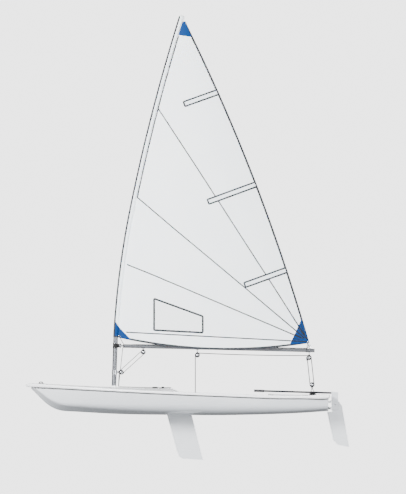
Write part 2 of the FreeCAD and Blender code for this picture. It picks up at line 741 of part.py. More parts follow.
top_at, top_turn = mast_at(MAST_TOP_Z)
top_dir = V(-math.sin(top_turn), 0, math.cos(top_turn))
plug = rod(top_at + top_dir * REST, top_at + top_dir * MAST_PLUG, UPPER_OD / 2)
plug = soften(plug, 4, top_at + top_dir * MAST_PLUG)
plug = plug.fuse(rod(top_at - top_dir * 30, top_at + top_dir, UPPER_OD / 2 - MAST_WALL - REST))
heel_at = mast_at(MAST_HEEL_Z)[0]
heel = rod(heel_at + rake_vector(), heel_at + rake_vector() * 30, LOWER_OD / 2 - MAST_WALL - REST)
save("mast_plugs", plug, heel)

boom_a, boom_b = boom_at(BOOM_FRONT[0]), boom_at(BOOM_END[0])
save("boom", pipe(boom_a, boom_b, BOOM_OD / 2, BOOM_OD / 2 - BOOM_WALL))
boom_dir = unit(boom_a, boom_b)
boom_in = BOOM_OD / 2 - BOOM_WALL - REST
end_cap = rod(boom_b + boom_dir * REST, boom_b + boom_dir * 6, BOOM_OD / 2)
end_cap = end_cap.fuse(rod(boom_b - boom_dir * 30, boom_b + boom_dir * 4, boom_in))
nose = rod(boom_a - boom_dir * BOOM_NOSE, boom_a - boom_dir * REST, BOOM_OD / 2)
nose = soften(nose, 6, boom_a - boom_dir * BOOM_NOSE)
nose = nose.fuse(rod(boom_a - boom_dir * 8, boom_a + boom_dir * 34, boom_in))
save("boom_plugs", end_cap, nose)

# --------------------------------------------------------- build: gooseneck, vang
band_in, band_out = LOWER_OD / 2 + REST, LOWER_OD / 2 + REST + BAND_WALL
mast_front = mast_at(GOOSENECK_Z)[0].x - LOWER_OD / 2
nose_x = BOOM_FRONT[0] + BOOM_NOSE + REST
pin_x = (mast_front + nose_x) / 2
low, high = GOOSENECK_Z - GOOSENECK_TALL / 2, GOOSENECK_Z + GOOSENECK_TALL / 2
lug = side_plate([(pin_x - 13, low, 8), (pin_x - 13, high, 8), (mast_front, high, 0),
                  (mast_front, low, 0)], -15, 15)
jaw = Part.makeBox(pin_x + 13 - nose_x, 44, 26, V(nose_x, -22, GOOSENECK_Z - 13))
mast_room = rod(mast_at(GOOSENECK_Z - 80)[0], mast_at(GOOSENECK_Z + 80)[0], band_in)
pin_hole = rod(V(pin_x, 0, low - 30), V(pin_x, 0, high + 30), GOOSENECK_PIN_R + 0.3)
band = mast_ring(GOOSENECK_Z, 76, band_out, band_in)
save("gooseneck_bracket", band.fuse(lug.cut(jaw).cut(mast_room)).cut(pin_hole))
tongue = Part.makeBox(pin_x - nose_x, 25, 25, V(nose_x, -12.5, GOOSENECK_Z - 12.5))
tongue = tongue.fuse(rod(V(pin_x, 0, GOOSENECK_Z - 12.5), V(pin_x, 0, GOOSENECK_Z + 12.5), 12.5))
pin = rod(V(pin_x, 0, low - 8), V(pin_x, 0, high + 2), GOOSENECK_PIN_R)
pin_head = rod(V(pin_x, 0, high + REST), V(pin_x, 0, high + 5), 9)
save("gooseneck_pin", tongue.removeSplitter().fuse([pin, pin_head]))

tang_x = VANG_LOW[0] + VANG_R + BLOCK_STEM
tang_back = mast_at(VANG_LOW[1])[0].x - LOWER_OD / 2 - 1
tang = side_plate([(tang_x, VANG_LOW[1] - 12, 6), (tang_x, VANG_LOW[1] + 12, 6),
                   (tang_back, VANG_LOW[1] + 24, 0), (tang_back, VANG_LOW[1] - 24, 0)], -4, 4)
save("vang_tang", mast_ring(VANG_LOW[1], 60, band_out, band_in).fuse(tang))
save("vang_lower_block", *sheave_block(VANG_LOW, VANG_R, fore_of(VANG_LOW), BLOCK_STEM - REST))
save("vang_upper_block", *hung_block(VANG_HIGH, VANG_R))
save("vang_boom_key", boom_saddle(VANG_HIGH[0], 50, 20))

# --------------------------------------------------- build: blocks under the boom
save("boom_middle_block", *hung_block(MID_BLOCK, BLOCK_R))
save("boom_end_block", *hung_block(END_BLOCK, BLOCK_R))
save("boom_eye_straps", *[boom_saddle(x, 44, 18) for x in (MID_BLOCK[0], END_BLOCK[0])])
eye_ring = [(EYE_MAJOR + EYE_MINOR * math.cos(i * math.pi / 4), EYE_MINOR * math.sin(i * math.pi / 4))
            for i in range(8)]
eye_at = V(OUTHAUL_X, 0, boom_at(OUTHAUL_X).z + BOOM_OD / 2 + EYE_MAJOR + EYE_MINOR + 0.6)
save("outhaul_eye", turned(eye_ring, eye_at))

# ----------------------------------------------------------------- build: sail
outline = sail_outline()
sleeve_room = mast_sweep(TACK[1] - 260, MAST_TOP_Z + 60, SLEEVE_R + SEW)
save("sail", cloth(0, CLOTH).common(outline).cut(sleeve_room).cut(prism(WINDOW)))
sleeve = mast_sweep(TACK[1], MAST_TOP_Z, SLEEVE_R)
sleeve = sleeve.cut(mast_sweep(TACK[1] - 10, MAST_TOP_Z + 10, SLEEVE_R - SLEEVE_WALL))
cap_at = top_at + top_dir * (MAST_PLUG + REST)
closed_top = rod(top_at, cap_at + top_dir * 8, SLEEVE_R).cut(rod(top_at, cap_at, SLEEVE_R - SLEEVE_WALL))
save("luff_sleeve", sleeve.fuse(closed_top))
pocket_skin = cloth(CLOTH / 2 + SEW + POCKET / 2, POCKET)
pockets = []
for (ax, az), (bx, bz) in BATTENS:
    stops = [(ax + (bx - ax) * i / POCKET_PANELS, az + (bz - az) * i / POCKET_PANELS)
             for i in range(POCKET_PANELS + 1)]
    panels = [pocket_skin.common(strip(a, b, BATTEN_W)).common(outline) for a, b in zip(stops, stops[1:])]
    pockets.append(panels[0].fuse(panels[1:]))
save("battens", *pockets)
save("sail_window", cloth(0, LAYER).common(prism(WINDOW)).common(outline).cut(sleeve_room))
patch_skin = cloth(CLOTH / 2 + SEW + LAYER / 2, LAYER)
save("corner_patches", *[patch_skin.common(prism(p)).common(outline).cut(sleeve_room) for p in PATCHES])

# --------------------------------------------------------------- build: rudder
cheek_in = BLADE_THICK / 2 + BLADE_GAP
cheek_out = cheek_in + HEAD_PLATE
pivot = V(BLADE_PIVOT[0], 0, BLADE_PIVOT[1])
head = side_plate([
    (HEAD_FRONT_X, HEAD_TOP_Z, 8), (HEAD_AFT_X, HEAD_TOP_Z, 8), (HEAD_AFT_X, 110, 12),
    (HEAD_AFT_X - 20, 20, 12), (HEAD_AFT_X - 4, HEAD_BOTTOM_Z, 14), (HEAD_FRONT_X, HEAD_BOTTOM_Z, 6),
], -cheek_out, cheek_out)
hollow = Part.makeBox(400, 2 * cheek_in, 340,
                      V(HEAD_FRONT_X - HEAD_PLATE - 400, -cheek_in, HEAD_BOTTOM_Z - 100))
tiller_a, tiller_b = V(TILLER_AFT[0], 0, TILLER_AFT[1]), V(TILLER_FORE[0], 0, TILLER_FORE[1])
tiller_dir = unit(tiller_a, tiller_b)
saddle = rod(tiller_a - tiller_dir * 60, tiller_b, TILLER_OD / 2 + TILLER_SEAT)
top_block = side_plate([(HEAD_FRONT_X - 1, HEAD_TOP_Z - 1, 6), (HEAD_AFT_X + 1, HEAD_TOP_Z - 1, 6),
                        (HEAD_AFT_X + 1, 200, 4), (HEAD_FRONT_X - 1, 200, 4)], -cheek_in - 1, cheek_in + 1)
bolt_hole = rod(pivot - V(0, 60, 0), pivot + V(0, 60, 0), BLADE_BOLT_R + 0.05)
hangers = []
for z in PINTLE_Z:
    seat = z + GUDGEON_H / 2 + REST
    hangers.append(Part.makeBox(PINTLE_X - HEAD_FRONT_X + 2, 16, 10, V(HEAD_FRONT_X - 2, -8, seat)))
    hangers.append(Part.makeCylinder(9, 10, V(PINTLE_X, 0, seat)))
    hangers.append(Part.makeCylinder(PINTLE_R, GUDGEON_H + 16, V(PINTLE_X, 0, z - GUDGEON_H / 2 - 5)))
save("rudder_head", head.cut(hollow).fuse(top_block).fuse(hangers).cut(bolt_hole).cut(saddle))
save("tiller", pipe(tiller_a, tiller_b, TILLER_OD / 2, TILLER_OD / 2 - TILLER_WALL))
grip_a, grip_b = tiller_b - tiller_dir * GRIP_LONG, tiller_b + tiller_dir * 4
grip = rod(grip_a, grip_b, GRIP_R)
grip = soften(grip, 4, grip_a, grip_b)
grip_bore = rod(grip_a - tiller_dir, tiller_b + tiller_dir * REST, TILLER_OD / 2 + TILLER_SEAT)
save("tiller_grip", grip.cut(grip_bore))
bolt = rod(pivot - V(0, cheek_out + 7, 0), pivot + V(0, cheek_out + 7, 0), BLADE_BOLT_R)
heads = [rod(pivot + V(0, side * (cheek_out + REST), 0), pivot + V(0, side * (cheek_out + 6), 0), 9)
         for side in (-1, 1)]
save("blade_bolt", bolt.fuse(heads))

# The blade is a foil whose leading and trailing edges spread a little towards the tip.
blade_up = V(BLADE_SLOPE[0], 0, BLADE_SLOPE[1]).normalize()
blade_fore = V(blade_up.z, 0, -blade_up.x)


def blade_part(down, chord, thick):
    """The blade's section this far down its leading edge from the pivot's height."""
    at = V(BLADE_EDGE[0], 0, BLADE_EDGE[1]) - blade_up * down
    return foil_section(at, blade_fore, 0, -chord, thick, BLADE_NOSE, BLADE_TAIL)


blade = loft([blade_part(-120, BLADE_CHORD[0], BLADE_THICK),
              blade_part(660, BLADE_CHORD[1], BLADE_THICK - 4)], True)
blade = blade.common(side_plate([
    (PINTLE_X - 25, 112, 44), (PINTLE_X - 111, 112, 40), (PINTLE_X - 162, 40, 14),
    (PINTLE_X - 262, -528, 12), (PINTLE_X - 103, -496, 20), (PINTLE_X - 17, -411, 0),
    (PINTLE_X + 73, -36, 0), (PINTLE_X - 23, -36, 4),
], -60, 60))
save("rudder_blade", blade.cut(bolt_hole))

# The tiller's extension lies folded back along the tiller's starboard side.
ext_shift = V(0, -(TILLER_OD / 2 + EXT_R + 8), 4)
joint_at = tiller_b - tiller_dir * 20
ext_tip = joint_at + ext_shift - tiller_dir * EXT_LONG
ext_end = rod(ext_tip + tiller_dir * 120, ext_tip, EXT_R + 2)
ext_pin = rod(joint_at - V(0, GRIP_R + 0.4, 0), joint_at - V(0, 30, 0), 5)
save("tiller_extension", rod(joint_at + ext_shift, ext_tip, EXT_R).fuse([ext_end, ext_pin]))

# ------------------------------------------------------------- build: deck gear
gudgeons = []
for z in PINTLE_Z:
    plate = Part.makeBox(3, 60, 34, V(TRANSOM_X - 3 - REST, -30, z - 17))
    arm = Part.makeBox(TRANSOM_X - 3 - PINTLE_X, 16, GUDGEON_H, V(PINTLE_X, -8, z - GUDGEON_H / 2))
    boss = Part.makeCylinder(9, GUDGEON_H, V(PINTLE_X, 0, z - GUDGEON_H / 2))
    hole = Part.makeCylinder(PINTLE_R + PINTLE_FIT, GUDGEON_H + 2, V(PINTLE_X, 0, z - GUDGEON_H / 2 - 1))
    gudgeons.append(plate.fuse([arm, boss]).cut(hole))
save("gudgeons", *gudgeons)


def deck_top(x, y=0):
    """Height of the deck's upper surface at a place."""
    line = Part.makeLine(V(x, y, -300), V(x, y, 900))
    return max(v.Z for v in deck.common(line).Vertexes)


over_deck = deck.copy()
over_deck.translate(V(0, 0, REST))


def bed(shape):
    """Trim a fitting's underside to the deck it stands on."""
    return max(shape.cut(over_deck).Solids, key=lambda solid: solid.Volume)


def saddle_shape(x, y, z, long, high, half, corner):
    """A low fitting on the deck: sloping ends with rounded shoulders."""
    return side_plate([(x - long / 2, z - FOOT_SINK, 0), (x - long / 2 + 7, z + high, corner),
                       (x + long / 2 - 7, z + high, corner), (x + long / 2, z - FOOT_SINK, 0)],
                      y - half, y + half)


eye_z = deck_top(BOW_EYE_X) + REST
eye_wide = BOW_EYE_THICK / 2
eye = side_plate([(BOW_EYE_X - 40, eye_z - FOOT_SINK, 0), (BOW_EYE_X - 18, eye_z + 27, 16),
                  (BOW_EYE_X + 18, eye_z + 27, 16), (BOW_EYE_X + 40, eye_z - FOOT_SINK, 0)],
                 -eye_wide, eye_wide)
eye = eye.fuse(Part.makeBox(84, 26, 4 + FOOT_SINK, V(BOW_EYE_X - 42, -13, eye_z - FOOT_SINK)))
hole_at = V(BOW_EYE_X, 0, eye_z + BOW_EYE_RISE)
save("bow_eye", bed(eye.cut(rod(hole_at - V(0, 20, 0), hole_at + V(0, 20, 0), BOW_EYE_HOLE))))
print("bow eye centre z", hole_at.z)

# A jamming cleat: a V groove whose walls carry rows of slanting teeth.
cleats = []
for y in (-CLEAT_Y, CLEAT_Y):
    z = deck_top(CLEAT_X, y + 14) + REST
    cleat = saddle_shape(CLEAT_X, y, z, 84, CLEAT_HIGH, 14, 8)
    vee = Part.makePolygon([V(CLEAT_X - 60, y - 7, z + 19), V(CLEAT_X - 60, y + 7, z + 19),
                            V(CLEAT_X - 60, y, z + 6), V(CLEAT_X - 60, y - 7, z + 19)])
    cleat = cleat.cut(Part.Face(vee).extrude(V(120, 0, 0)))
    for i in range(CLEAT_TEETH):
        x = CLEAT_X + (i - (CLEAT_TEETH - 1) / 2) * 9
        for side in (-1, 1):
            gap = Part.makeBox(3, 8, 9, V(-1.5, 1.5, 0))
            gap.rotate(V(0, 0, 0), V(0, 0, 1), 90 - side * 90 + side * 30)
            gap.translate(V(x, y, z + 10))
            cleat = cleat.cut(gap)
    cleats.append(bed(cleat))
save("control_line_cleats", *cleats)

# The traveller line runs between two fairleads and carries its block over the tiller.
lead_y = deck_at(LEAD_X, "half") - LEAD_INSET
leads = []
feet = []
for y in (-lead_y, lead_y):
    z = deck_top(LEAD_X, y)
    lead = bed(saddle_shape(LEAD_X, y, z, LEAD_LONG, LEAD_HIGH, 12, 12))
    for x in (LEAD_X - LEAD_SPREAD, LEAD_X + LEAD_SPREAD):
        foot = V(x, y, z + LEAD_HOLE)
        lead = lead.cut(rod(foot - V(0, 20, 0), foot + V(0, 20, 0), 2 * LINE_R))
        feet.append(foot)
    leads.append(lead)
save("traveller_fairleads", *leads)
peak = V(TRAVELLER_BLOCK[0], 0, TRAVELLER_PEAK)
knots = [Part.makeSphere(KNOT_R, at) for at in [peak] + feet]
save("traveller_line", knots[0].fuse(knots[1:] + [rod(foot, peak, LINE_R) for foot in feet]))
room_to_line = TRAVELLER_BLOCK[1] - BLOCK_R - TRAVELLER_PEAK - KNOT_R
save("traveller_block", *sheave_block(TRAVELLER_BLOCK, BLOCK_R, under(TRAVELLER_BLOCK), room_to_line - 0.4))

floor = WELL_FLOOR + REST
foot_frame, foot_wheel = sheave_block(SHEET_BLOCK, SHEET_R, under(SHEET_BLOCK), BLOCK_STEM)
pad = Part.makeCylinder(30, 6, V(SHEET_BLOCK[0], 0, floor))
spring_top = SHEET_BLOCK[1] - SHEET_R - 10
coils = [Part.makeCylinder(13, 3, V(SHEET_BLOCK[0], 0, z)) for z in range(int(floor) + 8, int(spring_top), 6)]
core = Part.makeCylinder(9, spring_top - floor - 2, V(SHEET_BLOCK[0], 0, floor + 2))
save("mainsheet_block", foot_frame.fuse([pad, core] + coils), foot_wheel)

wall_x = WELL_AFT + SKIN + WELL_DRAFT * (WELL_RIM - STRAP_HIGH_Z) / WELL_RIM + REST
strap_front = -330
save("hiking_strap", side_plate([
    (strap_front, floor, 0), (strap_front, floor + STRAP_T, 0), (strap_front - 62, floor + STRAP_T, 0),
    (wall_x + STRAP_T, STRAP_HIGH_Z + 2, 0), (wall_x + STRAP_T, 150, 0), (wall_x, 150, 0),
    (wall_x, STRAP_HIGH_Z, 0), (strap_front - 62, floor, 0),
], -STRAP_W / 2, STRAP_W / 2))
save("strap_plates", Part.makeBox(30, 44, 3, V(strap_front - 36, -22, floor + STRAP_T + REST)),
     Part.makeBox(3, 44, 30, V(wall_x + STRAP_T + REST, -22, 112)))

bung_at = V(TRANSOM_X - REST, BUNG_Y, BUNG_Z)
bung = rod(bung_at, bung_at - V(8, 0, 0), 19)
bung = soften(bung, 3, bung_at - V(8, 0, 0))
save("transom_bung", bung.fuse(rod(bung_at - V(7, 0, 0), bung_at - V(16, 0, 0), 12)).cut(
    Part.makeBox(6, 20, 4, V(bung_at.x - 18, BUNG_Y - 10, BUNG_Z - 2))))
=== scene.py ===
import json
import math
from functools import reduce

import bmesh
import bpy
import numpy as np
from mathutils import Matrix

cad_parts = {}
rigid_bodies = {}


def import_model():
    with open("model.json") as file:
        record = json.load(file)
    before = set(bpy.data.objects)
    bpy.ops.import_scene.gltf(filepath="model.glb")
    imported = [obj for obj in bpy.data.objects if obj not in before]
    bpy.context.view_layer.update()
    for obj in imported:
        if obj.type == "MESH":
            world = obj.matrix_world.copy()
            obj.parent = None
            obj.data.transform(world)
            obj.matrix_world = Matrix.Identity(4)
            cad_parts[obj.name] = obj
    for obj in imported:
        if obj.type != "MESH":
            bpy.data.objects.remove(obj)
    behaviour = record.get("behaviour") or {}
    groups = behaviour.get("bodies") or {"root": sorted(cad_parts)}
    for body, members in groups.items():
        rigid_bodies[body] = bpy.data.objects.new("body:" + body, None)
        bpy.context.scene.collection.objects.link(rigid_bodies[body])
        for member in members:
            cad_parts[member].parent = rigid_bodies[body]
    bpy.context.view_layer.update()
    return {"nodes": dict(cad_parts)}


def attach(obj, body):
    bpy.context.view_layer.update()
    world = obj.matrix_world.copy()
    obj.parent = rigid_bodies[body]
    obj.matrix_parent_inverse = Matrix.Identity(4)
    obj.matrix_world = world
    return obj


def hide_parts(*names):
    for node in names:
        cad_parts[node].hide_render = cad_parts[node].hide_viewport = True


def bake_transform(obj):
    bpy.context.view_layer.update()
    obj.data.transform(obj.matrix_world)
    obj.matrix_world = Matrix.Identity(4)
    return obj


for stray in list(bpy.data.objects):
    bpy.data.objects.remove(stray)
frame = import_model()
NODES = frame["nodes"]

# A single-handed sailing dinghy afloat, in metres: +X forward, +Y to port, +Z up,
# with the water's surface at z = 0. The sail, ropes, blocks and foils are made here
# around the spars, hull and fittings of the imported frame.

# ------------------------------------------------------------------ camera and stage
METRES_TALL = 6.867                   # height of the view
VIEW_CENTRE = (-0.351, 2.253)         # x and z in the middle of the view
CAMERA_Y, SIGHT = 20, 200             # how far to port the camera stands, and how far it sees
FLOOR_SIZE = 60.0
FLOOR_Z = 0.0                         # the boat floats, so the floor is the waterline
FLOOR_HOLE = (-1.40, 0.45, 0.32)      # x from and to, and half width, of the part inside the hull
SWEEP_FROM, SWEEP_TO = 3.0, 9.5       # where the floor starts to turn into the backdrop, and has
BACKDROP, FILL = 3.4, 0.72            # strength of the white backdrop and of the even fill
# Lights: place, width, watts and the height over the origin that each is aimed at.
LIGHTS = {
    "key_light": ((7, 11, 5.5), 4.5, 5000, 1.5),
    "fill_light": ((-9, 8, 3), 6.0, 1700, 1.5),
    "far_side_light": ((-3, -10, 7), 6.0, 1300, 1.5),
    "low_light": ((-1, 8, -5), 5.0, 300, 0),
}
SIDES = (("port", 1), ("starboard", -1))


def srgb(code):
    """sRGB hex to linear RGBA."""
    parts = [int(code[i:i + 2], 16) / 255 for i in (1, 3, 5)]
    return tuple(c / 12.92 if c <= 0.04045 else ((c + 0.055) / 1.055) ** 2.4 for c in parts) + (1.0,)


def add(tree, kind, **settings):
    """Add a node. A setting is a property, or an input by its name or as in0, in1 and so on;
    its value is a number, a colour, or (node, output) to link."""
    node = tree.nodes.new(kind)
    for key, value in settings.items():
        name = key.replace("_", " ")
        if key[:2] == "in" and key[2:].isdigit():
            slot = node.inputs[int(key[2:])]
        elif name in node.inputs:
            slot = node.inputs[name]
        else:
            setattr(node, key, value)
            continue
        if isinstance(value, tuple) and isinstance(value[0], bpy.types.Node):
            tree.links.new(value[0].outputs[value[1]], slot)
        else:
            slot.default_value = value
    return node


# ----------------------------------------------------------------- arrays and meshes
def unit(v):
    """Vectors along the last axis, at length one."""
    v = np.asarray(v, float)
    return v / np.linalg.norm(v, axis=-1, keepdims=True)


def spread(*parts):
    """Numbers and arrays, brought to one shape and stacked along a new last axis."""
    return np.stack(np.broadcast_arrays(*parts), -1)


def whole_turn(count):
    """Evenly spaced angles of one turn."""
    return np.linspace(0, 2 * math.pi, count, endpoint=False)


def run_along(path):
    """How far along a line each of its points lies."""
    return np.concatenate([[0], np.cumsum(np.linalg.norm(np.diff(path, axis=0), axis=1))])


def evenly(path, step):
    """The same line with its points one step apart."""
    path = np.asarray(path, float)
    run = run_along(path)
    at = np.linspace(0, run[-1], max(int(run[-1] / step), 3) + 1)
    return spread(*(np.interp(at, run, path[:, i]) for i in range(3)))


def eased(points, per=12):
    """A smooth line through the points: a cubic between each two, whose slope at a point is
    half the way between its neighbours."""
    p = np.asarray(points, float)
    slope = np.gradient(p, axis=0)
    t = np.linspace(0, 1, per, endpoint=False)[None, :, None]
    a, b, m, n = p[:-1, None], p[1:, None], slope[:-1, None], slope[1:, None]
    run = ((2 * t ** 3 - 3 * t ** 2 + 1) * a + (t ** 3 - 2 * t ** 2 + t) * m
           + (3 * t ** 2 - 2 * t ** 3) * b + (t ** 3 - t ** 2) * n)
    return np.concatenate([run.reshape(-1, 3), p[-1:]])


def arc(centre, radius, start_deg, end_deg, count=14):
    """Points round a centre (x, z), in the upright plane fore and aft."""
    a = np.radians(np.linspace(start_deg, end_deg, count))
    return spread(centre[0] + radius * np.cos(a), 0.0, centre[1] + radius * np.sin(a))


def straight(a, b, count=12):
    """Evenly spaced points from a to b."""
    t = np.linspace(0, 1, count)[:, None]
    return np.asarray(a, float) * (1 - t) + np.asarray(b, float) * t


def flat_line(a, b, y0=0.0, y1=0.0, count=50):
    """A straight line between two points (x, z), at a distance y to port of the middle."""
    return straight((a[0], y0, a[1]), (b[0], y1, b[1]), count)


def grid_faces(rows, cols, close_u, close_v=False):
    """The quads of a grid, as rows of four indices."""
    index = np.arange(rows * cols).reshape(rows, cols)
    if close_u:
        index = np.concatenate([index, index[:, :1]], 1)
    if close_v:
        index = np.concatenate([index, index[:1]], 0)
    return np.stack([index[:-1, :-1], index[:-1, 1:], index[1:, 1:], index[1:, :-1]], -1).reshape(-1, 4)


def mesh_piece(name, points, faces, mat, body):
    """A smooth mesh that rides on a body, if one is given."""
    mesh = bpy.data.meshes.new(name)
    mesh.from_pydata(np.reshape(points, (-1, 3)).tolist(), [], faces)
    mesh.polygons.foreach_set("use_smooth", np.ones(len(mesh.polygons), bool))
    mesh.materials.append(mat)
    piece = bpy.data.objects.new(name, mesh)
    bpy.context.collection.objects.link(piece)
    if body:
        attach(piece, body)
    return piece


def surface(name, points, mat, body, close_u=False, close_v=False, caps=False, uv=None):
    """A grid of points, rows by columns by 3, as a piece. close_u joins the last column to the
    first, close_v the last row to the first, and caps fills the first and last row."""
    rows, cols = points.shape[:2]
    quads = grid_faces(rows, cols, close_u, close_v)
    spots = points.reshape(-1, 3) - points.reshape(-1, 3).mean(0)
    a, b, c, d = [spots[quads[:, i]] for i in range(4)]
    faces = quads.tolist()
    if caps:
        faces += [list(range(cols))[::-1], list(range((rows - 1) * cols, rows * cols))]
    # Meant to turn a closed piece's faces outwards, but the sum is nought but for rounding, so it
    # turns some pieces inwards. cross(c - a, d - b) in place of the cross below would give the volume.
    if (close_u or close_v) and np.einsum("ij,ij", np.cross(a + c, b + d), a + b + c + d) < 0:
        faces = [f[::-1] for f in faces]
    piece = mesh_piece(name, points, faces, mat, body)
    if uv is not None:
        layer = piece.data.uv_layers.new(name="UVMap")
        loops = np.zeros(len(piece.data.loops), np.int32)
        piece.data.loops.foreach_get("vertex_index", loops)
        layer.data.foreach_set("uv", uv.reshape(-1, 2)[loops].astype(np.float32).ravel())
    return piece


def thicken(piece, thick, offset=0.0):
    """Give cloth or film its thickness: half on each side, or with offset -1 all behind its faces."""
    solid = piece.modifiers.new("thickness", "SOLIDIFY")
    solid.thickness = thick
    solid.offset = offset


def rope(name, path, radius, mat, body, sides=12, step=0.006):
    """A round tube of one radius carried along a path, with UVs round and along it. Each ring
    stands square to the path, and its first spoke is the last ring's, turned no more than that
    takes."""
    path = evenly(path, step)
    tangent = unit(np.gradient(path, axis=0))
    last = np.array([0.0, 1.0, 0.0]) if abs(tangent[0, 1]) < 0.9 else np.array([1.0, 0.0, 0.0])
    side = np.zeros_like(path)
    for i, t in enumerate(tangent):
        last = last - t * np.dot(last, t)
        side[i] = last = last / np.linalg.norm(last)
    other = np.cross(tangent, side)
    turn = whole_turn(sides)
    hoop = np.cos(turn)[None, :, None] * side[:, None] + np.sin(turn)[None, :, None] * other[:, None]
    uv = spread(turn[None] / (2 * math.pi), run_along(path)[:, None])
    return surface(name, path[:, None] + radius * hoop, mat, body, close_u=True, caps=True, uv=uv)


# ------------------------------------------------------------------------- materials
class Finish:
    """A named principled material. What its makers pass about are (node, output) pairs."""

    def __init__(self, name, base, rough, metal=0.0, ior=1.5, **more):
        """more are other sockets of the shader, with _ for a space."""
        self.mat = bpy.data.materials.new(name)
        self.mat.use_nodes = True
        self.tree = self.mat.node_tree
        self.tree.nodes.clear()
        if metal < 1:
            more["IOR"] = ior
        self.body = self.add("BsdfPrincipled", Base_Color=srgb(base), Roughness=rough, Metallic=metal,
                             **more)
        self.out = self.add("OutputMaterial", in0=(self.body, 0))
        self.place = (self.add("TexCoord"), "Object")

    def add(self, kind, **settings):
        """A shader node of this material."""
        return add(self.tree, "ShaderNode" + kind, **settings)

    def calc(self, operation, *values):
        """Arithmetic on numbers and outputs."""
        return self.add("Math", operation=operation, **{f"in{i}": v for i, v in enumerate(values)}), 0

    def vector(self, operation, *values):
        """Arithmetic on vectors. A length is the node's second output."""
        node = self.add("VectorMath", operation=operation, **{f"in{i}": v for i, v in enumerate(values)})
        return node, int(operation == "LENGTH")

    def either(self, masks):
        """The highest of several masks."""
        return reduce(lambda a, b: self.calc("MAXIMUM", a, b), masks)

    def axes(self, where=None):
        """A node whose outputs X, Y and Z are the place on the object, or in a UV."""
        return self.add("SeparateXYZ", Vector=where or self.place)

    def uv(self):
        """The place in the piece's own UV map."""
        return self.add("UVMap"), 0

    def noise(self, scale, detail, drawn=None):
        """Noise of that scale, or drawn out by a scale for each axis."""
        where = (self.add("Mapping", Vector=self.place, Scale=drawn), 0) if drawn else self.place
        return self.add("TexNoise", Vector=where, Scale=scale, Detail=detail), 0

    def waves(self, spacing_mm, way, where=None):
        """Waves that far apart along an axis."""
        return self.add("TexWave", Vector=where or self.place, Scale=1000.0 / spacing_mm / 6.28,
                        bands_direction=way), 1

    def tint(self, factor, low, high):
        """Colour the material by a factor between two tones, each a hex code or an output."""
        low, high = [srgb(tone) if isinstance(tone, str) else tone for tone in (low, high)]
        mix = self.add("Mix", data_type="RGBA", in0=factor, in6=low, in7=high)
        self.tree.links.new(mix.outputs[2], self.body.inputs["Base Color"])
        return mix, 2

    def wear(self, factor, low, high):
        """Run the roughness between two values."""
        span = self.add("MapRange", Value=factor, To_Min=low, To_Max=high)
        self.tree.links.new(span.outputs[0], self.body.inputs["Roughness"])

    def bump(self, height, distance, strength):
        """Tilt the shading by a height that is drawn that deep."""
        node = self.add("Bump", Height=height, Distance=distance, Strength=strength)
        self.tree.links.new(node.outputs[0], self.body.inputs["Normal"])


def stage_material():
    """Matt painted floor that sweeps up into the backdrop's own white a few metres from the boat,
    so that no horizon shows."""
    floor = Finish("matt_studio_floor", "#F2F3F4", 0.9)
    swept = floor.add("MapRange", interpolation_type="SMOOTHSTEP", Value=floor.vector("LENGTH", floor.place),
                      From_Min=SWEEP_FROM, From_Max=SWEEP_TO)
    sweep = floor.add("Emission", Color=srgb("#FFFFFF"), Strength=BACKDROP)
    both = floor.add("MixShader", Fac=(swept, 0), in1=(floor.body, 0), in2=(sweep, 0))
    floor.tree.links.new(both.outputs[0], floor.out.inputs[0])
    return floor.mat


def gelcoat(name, low, high, shade=None):
    """Polyester gelcoat, sprayed in a polished mould: hard gloss, faint cloudiness and orange peel,
    with fine scuffs that run fore and aft. The colour may deepen towards the keel: painted shade for the
    lower hull, which the lamps light less."""
    gel = Finish(name, low, 0.22, ior=1.52, Coat_Weight=0.3, Coat_Roughness=0.08)
    tone = gel.tint(gel.noise(2.2, 3.0), low, high)
    if shade:
        # painted shade: the colour deepens from 0.28 m up down to below the waterline
        painted_shade_ramp = gel.add("MapRange", Value=(gel.axes(), "Z"), From_Min=0.28, From_Max=-0.08)
        gel.tint((painted_shade_ramp, 0), tone, shade)
    gel.wear(gel.noise(1.0, 6.0, drawn=(4.0, 60.0, 60.0)), 0.15, 0.36)
    gel.bump(gel.noise(420.0, 1.0), 0.00012, 0.35)
    return gel.mat


# Non-slip panels of the deck: centre (x, distance from the centreline, z) and half sizes, which
# the round corners add to.
PANEL_CORNER = 0.03
NON_SLIP = (
    ((-0.642, 0.452, 0.20), (0.492, 0.104, 0.08)),
    ((-0.700, 0.075, -0.03), (0.410, 0.078, 0.01)),
    ((0.840, 0.222, 0.305), (0.350, 0.082, 0.05)),
    ((-1.525, 0.205, 0.205), (0.165, 0.125, 0.05)),
)
PIP_MM = 8.0


def deck_gelcoat():
    """White gelcoat, glossy at the edges, with moulded non-slip panels where one sits or stands:
    side decks, cockpit floor and beside the mast. The tread's real 3 mm pips are drawn at 8 mm."""
    gel = Finish("white_gelcoat_with_non_slip", "#F4F5F7", 0.24, ior=1.52, Coat_Weight=0.2,
                 Coat_Roughness=0.12)
    axes = gel.axes()
    folded = gel.add("CombineXYZ", X=(axes, "X"), Y=gel.calc("ABSOLUTE", (axes, "Y")), Z=(axes, "Z"))
    panels = []
    for centre, half in NON_SLIP:
        off = gel.vector("ABSOLUTE", gel.vector("SUBTRACT", (folded, 0), centre))
        past = gel.vector("MAXIMUM", gel.vector("SUBTRACT", off, half), (0, 0, 0))
        panels.append(gel.calc("LESS_THAN", gel.vector("LENGTH", past), PANEL_CORNER))
    tread = gel.either(panels)
    pips = gel.add("TexVoronoi", Vector=gel.place, Scale=1000.0 / PIP_MM, Randomness=0.0)
    gel.tint(tread, gel.tint(gel.noise(3.0, 3.0), "#F1F2F4", "#F8F9FA"), "#E2E5E8")
    gel.wear(tread, 0.22, 0.62)
    gel.bump(gel.calc("MULTIPLY", (pips, 0), tread), 0.0025, 0.8)
    return gel.mat


